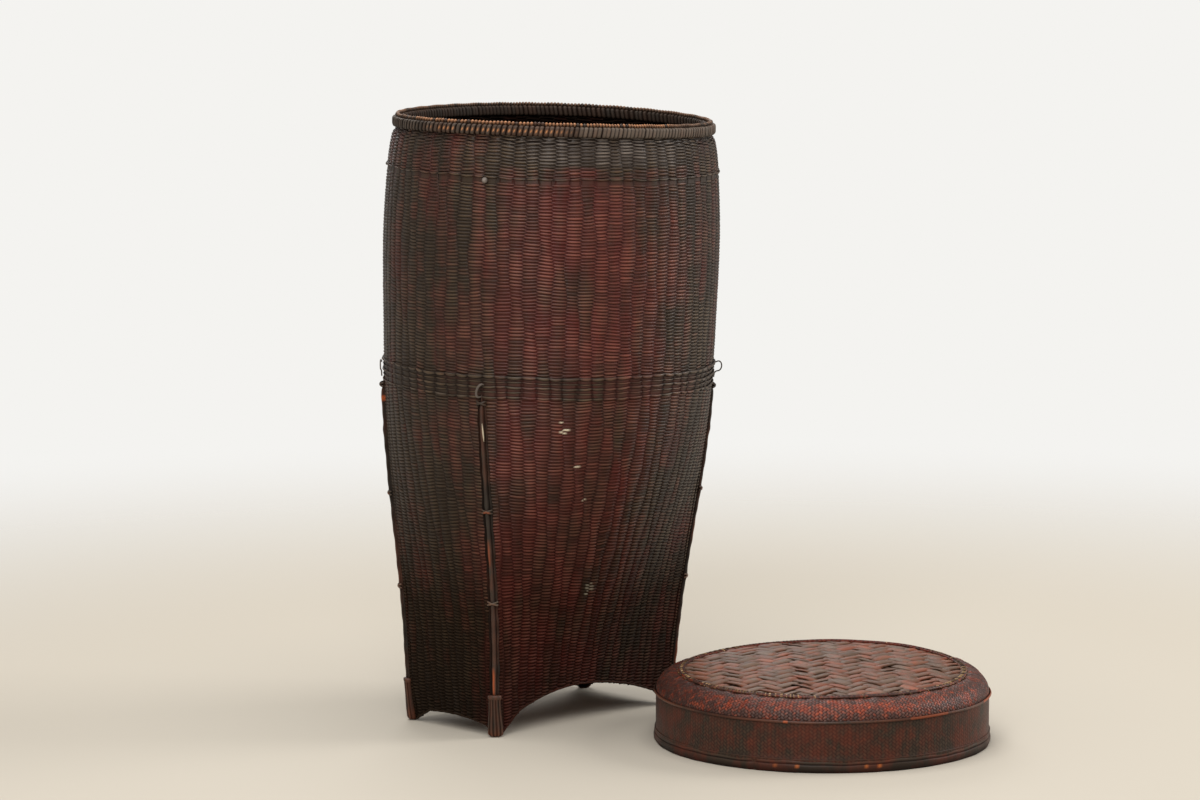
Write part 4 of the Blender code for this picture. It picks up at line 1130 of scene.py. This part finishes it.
def makeShoulder():
    wide, rise = lid["skirtOutside"] - lid["shoulderInside"], lid["shoulderRise"]

    def arc(t, wide, rise):
        radius = lid["shoulderInside"] + wide * np.cos(t) ** shoulderPlait["roundness"]
        return radius, lid["shoulderBottom"] + rise * np.sin(t)

    t = np.linspace(0, 0.5 * math.pi, shoulderPlait["rows"])[:, None]
    radius, height = arc(t, wide, rise)
    steps = np.hypot(np.diff(radius, axis=0), np.diff(height, axis=0))
    walked = np.concatenate([[[0]], np.cumsum(steps, axis=0)])
    turns = np.linspace(0, math.tau, shoulderPlait["columns"] + 1)[None]
    cell = math.tau * shoulderPlait["cellRadius"] / shoulderPlait["cells"]
    proud, mark = twill(turns / math.tau * shoulderPlait["cells"], walked / cell)
    lumps = shoulderPlait["lump"] * np.sin(turns * 23 + 1.3) * np.sin(turns * 7)
    lumps = lumps + shoulderPlait["ripple"] * np.sin(turns * 61)
    sink = shoulderPlait["relief"] * (1 - proud)
    outer = lidPoint(turns, radius - sink * np.cos(t), height - sink * np.sin(t) + lumps * np.sin(t))
    wallWide, wallHigh = lid["shoulderWall"]
    back = np.linspace(0.5 * math.pi, 0, shoulderPlait["innerRows"])[:, None]
    inner = lidPoint(turns, *arc(back, wide - wallWide, rise - wallHigh))
    at, proud, mark = closeShell(outer, inner, proud, mark)
    red = sum(
        share * np.exp(-((np.degrees(turns) - heading) / spread) ** 2)
        for heading, spread, share in shoulderPlait["red"]
    )
    band = np.exp(-((t - 0.75) / 0.42) ** 2)
    band = np.concatenate([band, np.full_like(back, 0.3), [[0]]])
    # painted highlight: the crests are paler on the side of the shoulder towards lightHeading
    light = 0.20 + 0.30 * np.clip(np.cos(turns - shoulderPlait["lightHeading"]), 0, 1)
    tone = np.clip(light + 0.6 * (floatChance[0][mark] - 0.40), 0, 1)
    paint = 0.02 + 0.85 * red * band + 0.6 * (floatChance[1][mark] - 0.5)
    return {"at": at, "proud": proud, "tone": tone, "paint": paint, "scuff": 0.0}


# broad splints of the top, in two families that cross at twice the spin
topPlait = {
    "pitch": 0.0110, "halfWidth": 0.0067, "thickness": 0.0010, "swing": 0.00062,
    "heading": 226.0, "spin": 43, "edge": 0.0035, "edgeGap": 0.002, "edgeFall": 0.006,
    "step": 0.0020, "drift": 0.0007, "curl": 0.0003, "tip": 0.09, "sink": 0.0004,
    "under": 0.0006, "underThickness": 0.0014,
    "underRadii": (0.0, 0.03, 0.06, 0.09, 0.115, lid["panelRadius"]),
}
splintOutline = (
    (-1, -0.8), (-0.85, 0.1), (-0.55, 0.72), (-0.2, 0.97),
    (0.2, 0.97), (0.55, 0.72), (0.85, 0.1), (1, -0.8), (0, -0.9),
)


def domeHeight(radius):
    return lid["panelTop"] + lid["dome"] * (1 - (radius / lid["panelRadius"]) ** 2)


# the splint with number i of a family; each of its floats has its own shade, wear, bulge and roll
def makeSplint(i, family, limit, shade, wear, bulge, roll):
    size, pitch = len(shade), topPlait["pitch"]
    spin = topPlait["spin"] * (1 - 2 * family)
    heading, other = math.radians(topPlait["heading"] + spin), math.radians(topPlait["heading"] - spin)
    along = np.array([math.cos(heading), math.sin(heading)])
    side = np.array([-along[1], along[0]])
    cross = np.array([-math.sin(other), math.cos(other)])
    offset = (i + 0.5) * pitch
    reach = math.sqrt(limit**2 - offset**2)
    s = np.linspace(-reach, reach, max(8, int(2 * reach / topPlait["step"])))
    drift = offset + topPlait["drift"] * np.sin(s * 61 + i * 2.3 + family)
    place = side[None] * drift[:, None] + along[None] * s[:, None]
    cell = place @ cross / pitch
    centre = np.floor(cell).astype(int)

    def lifted(j):
        over = (np.mod(i + j, 4) < 2) == (family == 0)
        return np.where(over, 1.0, -1.0) * (1 + 0.3 * bulge[j % size])

    # the number of the float that a place lies on, and where the blend to the next one starts
    run = (np.mod(i + centre, 4) // 2 + (i + centre) // 4 * 2).astype(int) % size
    beside = cell - centre - 0.5
    blend = np.clip((np.abs(beside) - 0.20) / 0.60, 0, 0.5)
    lift = lifted(centre) * (1 - blend) + lifted(centre + np.sign(beside).astype(int)) * blend
    radius, turn = np.hypot(place[:, 0], place[:, 1]), np.arctan2(place[:, 1], place[:, 0])
    curl = topPlait["curl"] * np.sin(s * 90 + i * 3.1 + family) * np.sin(s * 37 + i)
    rise = (topPlait["swing"] * lift + curl) * ramp(radius, limit, -topPlait["edgeFall"])
    path = lidPoint(turn, radius, domeHeight(radius) - topPlait["sink"] + rise)
    tip = topPlait["tip"] * roll[run]
    up = np.stack([side[0] * tip, side[1] * tip, np.ones(len(s))], -1)
    across = np.clip(0.5 + 0.5 * lift, 0, 1)
    width = topPlait["halfWidth"] * (0.76 + 0.24 * across) * (1 + 0.05 * np.sin(s * 70 + i))
    sheet = strand(path, up, width, topPlait["thickness"] * (1 + 0.25 * bulge[run]), splintOutline)
    sheet["proud"] = np.clip(sheet["proud"] * (0.15 + 0.85 * across)[None], 0, 1)
    sheet["tone"] = np.clip(0.55 + 0.22 * shade[run], 0, 1)
    sheet["paint"] = 0.27 + 0.20 * wear[run] + 0.10 * wear[0]
    return sheet


def makeSplints():
    sheets = []
    limit = lid["panelRadius"] - topPlait["edge"]
    count = int(limit / topPlait["pitch"]) + 1
    for family in (0, 1):
        tables = chance.normal(0, 1, (4, 2 * count + 3, 2 * count + 12)).clip(-2, 2)
        for i in range(-count, count + 1):
            if abs((i + 0.5) * topPlait["pitch"]) <= limit - topPlait["edgeGap"]:
                sheets.append(makeSplint(i, family, limit, *tables[:, i + count]))
    return sheets


# smooth panel under the splints, so no light comes between them
def makeUnderPanel():
    radius = np.array(topPlait["underRadii"])
    top = domeHeight(radius) - topPlait["under"]
    rows = np.concatenate([radius[::-1], radius, radius[-1:]])[:, None]
    heights = np.concatenate([top[::-1], top - topPlait["underThickness"], top[-1:]])[:, None]
    at = lidPoint(np.linspace(0, math.tau, 97)[None], rows, heights)
    return {"at": at, "proud": 0.65, "tone": 0.3, "paint": 0.3, "scuff": 0.0}


# a round cane that runs once round the lid
def lidHoop(radius, height, halfWidth, thickness, columns=720, wobble=0.0003):
    turns = np.linspace(0, math.tau, columns + 1)
    path = lidPoint(turns, radius, height + wobble * (np.sin(turns * 3 + 0.7) + 0.5 * np.sin(turns * 11)))
    out = lidPoint(turns, radius + 0.001, height) - lidPoint(turns, radius, height)
    return strand(path, out, halfWidth, thickness, roundSection(8), True, tone=0.5, paint=0.4)


ring = {
    "radii": (0.1234, 0.1270), "height": 0.0620, "cane": 0.0012, "redHeading": math.radians(40),
    "stitches": 236, "stitchReach": 0.0031, "stitchTurn": 0.0075, "stitchRise": 0.0016, "stitchSink": 0.0006,
    "stitchHalfWidth": 0.00075, "stitchThickness": 0.0005,
    # share of the pale stitches still there, up to each azimuth in degrees: worn away on most of the
    # front, covered with red at the back
    "stitchesKept": (
        (128, 0.05), (170, 0.62), (195, 0.15), (215, 0.6), (258, 0.12), (318, 0.55), (361, 0.05)
    ),
}


# red at the far edge, grey-brown in front
def ringCane(radius):
    turns = np.linspace(0, math.tau, 721)
    sheet = lidHoop(radius, ring["height"], ring["cane"], ring["cane"])
    far = np.clip(np.cos(turns - ring["redHeading"]), 0, 1) ** 0.7
    nicks = 0.5 + 0.5 * np.sin(turns * 180)
    sheet["paint"] = 0.15 + 0.75 * far + 0.2 * np.sin(turns * 37)
    sheet["proud"] = (0.35 + 0.65 * sheet["proud"]) * (0.5 + 0.5 * nicks)[None]
    sheet["tone"] = 0.3 + 0.3 * np.sin(turns * 23) ** 2
    return sheet


def makeStitches():
    sheets = []
    share = np.linspace(-1, 1, 7)
    radius = 0.5 * sum(ring["radii"]) + share * ring["stitchReach"]
    height = ring["height"] + ring["stitchRise"] * (1 - np.abs(share) ** 2.5) - ring["stitchSink"]
    for i in range(ring["stitches"]):
        turn = (i + 0.25 * chance.normal()) / ring["stitches"] * math.tau
        kept = next(share for stop, share in ring["stitchesKept"] if inDegrees(turn) < stop)
        path = lidPoint(turn + share * ring["stitchTurn"], radius, height)
        half = ring["stitchHalfWidth"] * chance.uniform(0.7, 1.2)
        sheet = strand(path, upright(len(path)), half, ring["stitchThickness"])
        pale = chance.rand() < kept
        sheet["tone"] = chance.rand()
        sheet["paint"] = chance.uniform(0.7, 1.0) if pale else chance.uniform(0.0, 0.25)
        if not pale:
            sheet["proud"] = sheet["proud"] * 0.4
        sheets.append(sheet)
    return sheets


# band at the lower edge, hollow above and bulging over the floor, as (radius, height, rubbing and painted
# light)
hemBand = {
    # darker towards the floor and in the hollow, a painted shade, and palest on the bead's top, a painted
    # highlight
    "section": (
        (0.1466, 0.0002, 0.1), (0.1474, 0.0, 0.1), (0.1483, 0.0004, 0.2), (0.1489, 0.0016, 0.3),
        (0.1493, 0.0034, 0.45), (0.1494, 0.0052, 0.6), (0.1491, 0.0066, 0.75), (0.1484, 0.0074, 0.1),
        (0.1488, 0.0082, 0.6), (0.1487, 0.0094, 1.0), (0.1481, 0.0104, 0.9), (0.1472, 0.0108, 0.3),
        (0.1466, 0.0104, 0.1), (0.1466, 0.0002, 0.1),
    ),
    # worn dots as (heading in degrees, strength), between two heights, and one notch in the edge
    "dots": ((207.6, 0.6), (215.0, 1.2), (238.0, 0.9), (242.6, 1.2)), "dotHeights": (0.004, 0.007),
    "notch": 0.0012, "notchAt": math.radians(200), "notchWidth": 0.022,
    # it is uneven outside a radius and above a height
    "wave": 0.0003, "ripple": 0.0002, "wavyFrom": (0.148, 0.002),
}


def makeHemBand():
    turns = np.linspace(0, math.tau, 721)[None]
    radius, height, proud = np.array(hemBand["section"]).T[:, :, None]
    uneven = hemBand["wave"] * np.sin(turns * 9) + hemBand["ripple"] * np.sin(turns * 29 + 1)
    notch = hemBand["notch"] * np.exp(-((turns - hemBand["notchAt"]) / hemBand["notchWidth"]) ** 2)
    outside, above = radius > hemBand["wavyFrom"][0], height > hemBand["wavyFrom"][1]
    at = lidPoint(turns, radius + (uneven - notch) * outside, height + uneven * above)
    degrees = np.degrees(turns)
    dots = sum(strength * np.clip(1 - np.abs(degrees - place), 0, 1) for place, strength in hemBand["dots"])
    low, high = hemBand["dotHeights"]
    scuff = 0.8 * np.clip(dots, 0, 1) * ((height > low) & (height < high))
    tone, paint = 0.35 + 0.3 * np.sin(turns * 4 + 1) ** 2, 0.3 + 0.3 * np.sin(turns * 11)
    return {"at": at, "proud": proud, "tone": tone, "paint": paint, "scuff": scuff}


# thin canes where skirt and shoulder meet and over the hem; the ridge is tan in a few rubbed spots,
# as (heading in degrees, half width in degrees, strength)
ridgeCane = {"radius": 0.1486, "height": 0.0442, "halfWidth": 0.0013, "thickness": 0.0011}
ridgeSpots = ((211, 0.8, 0.9), (306, 12, 0.7), (262, 8, 0.4))
hemCane = {
    "radius": 0.1482, "height": 0.0116, "halfWidth": 0.0006, "thickness": 0.0006, "columns": 360, "wobble": 0,
}


def makeRidgeCane():
    turns = np.linspace(0, math.tau, 721)
    sheet = lidHoop(**ridgeCane)
    degrees = np.degrees(turns)
    spots = sum(strength * (np.abs(degrees - place) < half) for place, half, strength in ridgeSpots)
    sheet["scuff"] = spots[None] * (sheet["proud"] > 0.3) * 0.8
    sheet["tone"] = 0.3 + 0.3 * np.sin(turns * 3)
    sheet["proud"] = sheet["proud"] * (0.6 + 0.25 * np.sin(turns * 5 + 1))[None]
    sheet["paint"] = 0.8 + 0.3 * np.sin(turns * 7 + 2)
    return sheet


buildPiece("lidSkirtPlait", [makeSkirt()], "darkLidPlait", "lid", "lid_skirt")
buildPiece("lidShoulderPlait", [makeShoulder()], "redLidPlait", "lid", "lid_shoulder")
buildPiece("lidTopSplints", makeSplints() + [makeUnderPanel()], "smokedBambooSplint", "lid", "lid_top_panel")
ringCanes = [ringCane(radius) for radius in ring["radii"]]
buildPiece("lidRingCanes", ringCanes, "redLidPlait", "lid", "lid_border_cord")
buildPiece("lidRingStitches", makeStitches(), "strawBinding", "lid", "lid_border_cord")
buildPiece("lidRidgeCane", [makeRidgeCane()], "smokedPostCane", "lid", "lid_ridge_hoop")
buildPiece("lidHemBand", [makeHemBand()], "darkLidPlait", "lid", "lid_hem_hoop")
buildPiece("lidHemCane", [lidHoop(**hemCane)], "darkLidPlait", "lid", "lid_hem_cane")

# pale floor and soft lights; the floor keeps the shadow and fades out into the backdrop
stage = {
    "halfSize": 3, "near": 0.62, "far": 1.9, "colour": "#c8bfb0", "roughness": 0.8, "gloss": 0.2,
    "backdrop": "#f4f3f0", "sky": 0.36,
}
aim = Vector((0, 0, 0.25))
lamps = {
    "overhead": {"at": (-0.3, 0.1, 2.6), "size": 2.4, "power": 44},
    "window": {"at": (-2.7, -1.9, 2.3), "size": 1.8, "power": 62},
    "right": {"at": (2.4, -1.6, 1.7), "size": 1.5, "power": 48},
    "behind": {"at": (1.6, 2.4, 1.9), "size": 1.6, "power": 26},
}


def makeStage():
    shape = bmesh.new()
    bmesh.ops.create_grid(shape, x_segments=1, y_segments=1, size=stage["halfSize"])
    mesh = bpy.data.meshes.new("floor")
    shape.to_mesh(mesh)
    shape.free()
    floor = bpy.data.objects.new("floor", mesh)
    bpy.context.scene.collection.objects.link(floor)
    material = bpy.data.materials.new("paleFloor")
    material.use_nodes = True
    tree = material.node_tree
    shader = tree.nodes["Principled BSDF"]
    shader.inputs["Base Color"].default_value = hexColour(stage["colour"])
    shader.inputs["Roughness"].default_value = stage["roughness"]
    shader.inputs["Specular IOR Level"].default_value = stage["gloss"]
    place = addNode(tree, "TexCoord").outputs["Object"]
    distance = addNode(tree, "VectorMath", (place,), operation="LENGTH").outputs["Value"]
    fade = (distance, stage["near"], stage["far"], 1.0, 0.0)
    kept = addNode(tree, "MapRange", fade, interpolation_type="SMOOTHSTEP")
    tree.links.new(kept.outputs[0], shader.inputs["Alpha"])
    mesh.materials.append(material)


# the backdrop is bright to the camera and dimmer as a light
def makeLight():
    world = bpy.data.worlds.new("studio")
    bpy.context.scene.world = world
    world.use_nodes = True
    tree = world.node_tree
    background = tree.nodes["Background"]
    background.inputs["Color"].default_value = hexColour(stage["backdrop"])
    seen = addNode(tree, "LightPath").outputs["Is Camera Ray"]
    strength = addNode(tree, "MapRange", (seen, 0.0, 1.0, stage["sky"], 1.0))
    tree.links.new(strength.outputs[0], background.inputs["Strength"])
    for name, lamp in lamps.items():
        data = bpy.data.lights.new(name, "AREA")
        data.energy, data.size = lamp["power"], lamp["size"]
        light = bpy.data.objects.new(name, data)
        light.location = lamp["at"]
        light.rotation_euler = (aim - Vector(lamp["at"])).to_track_quat("-Z", "Y").to_euler()
        bpy.context.scene.collection.objects.link(light)


makeStage()
makeLight()
bpy.context.scene.view_settings.view_transform = "Standard"
print("stage and light made")
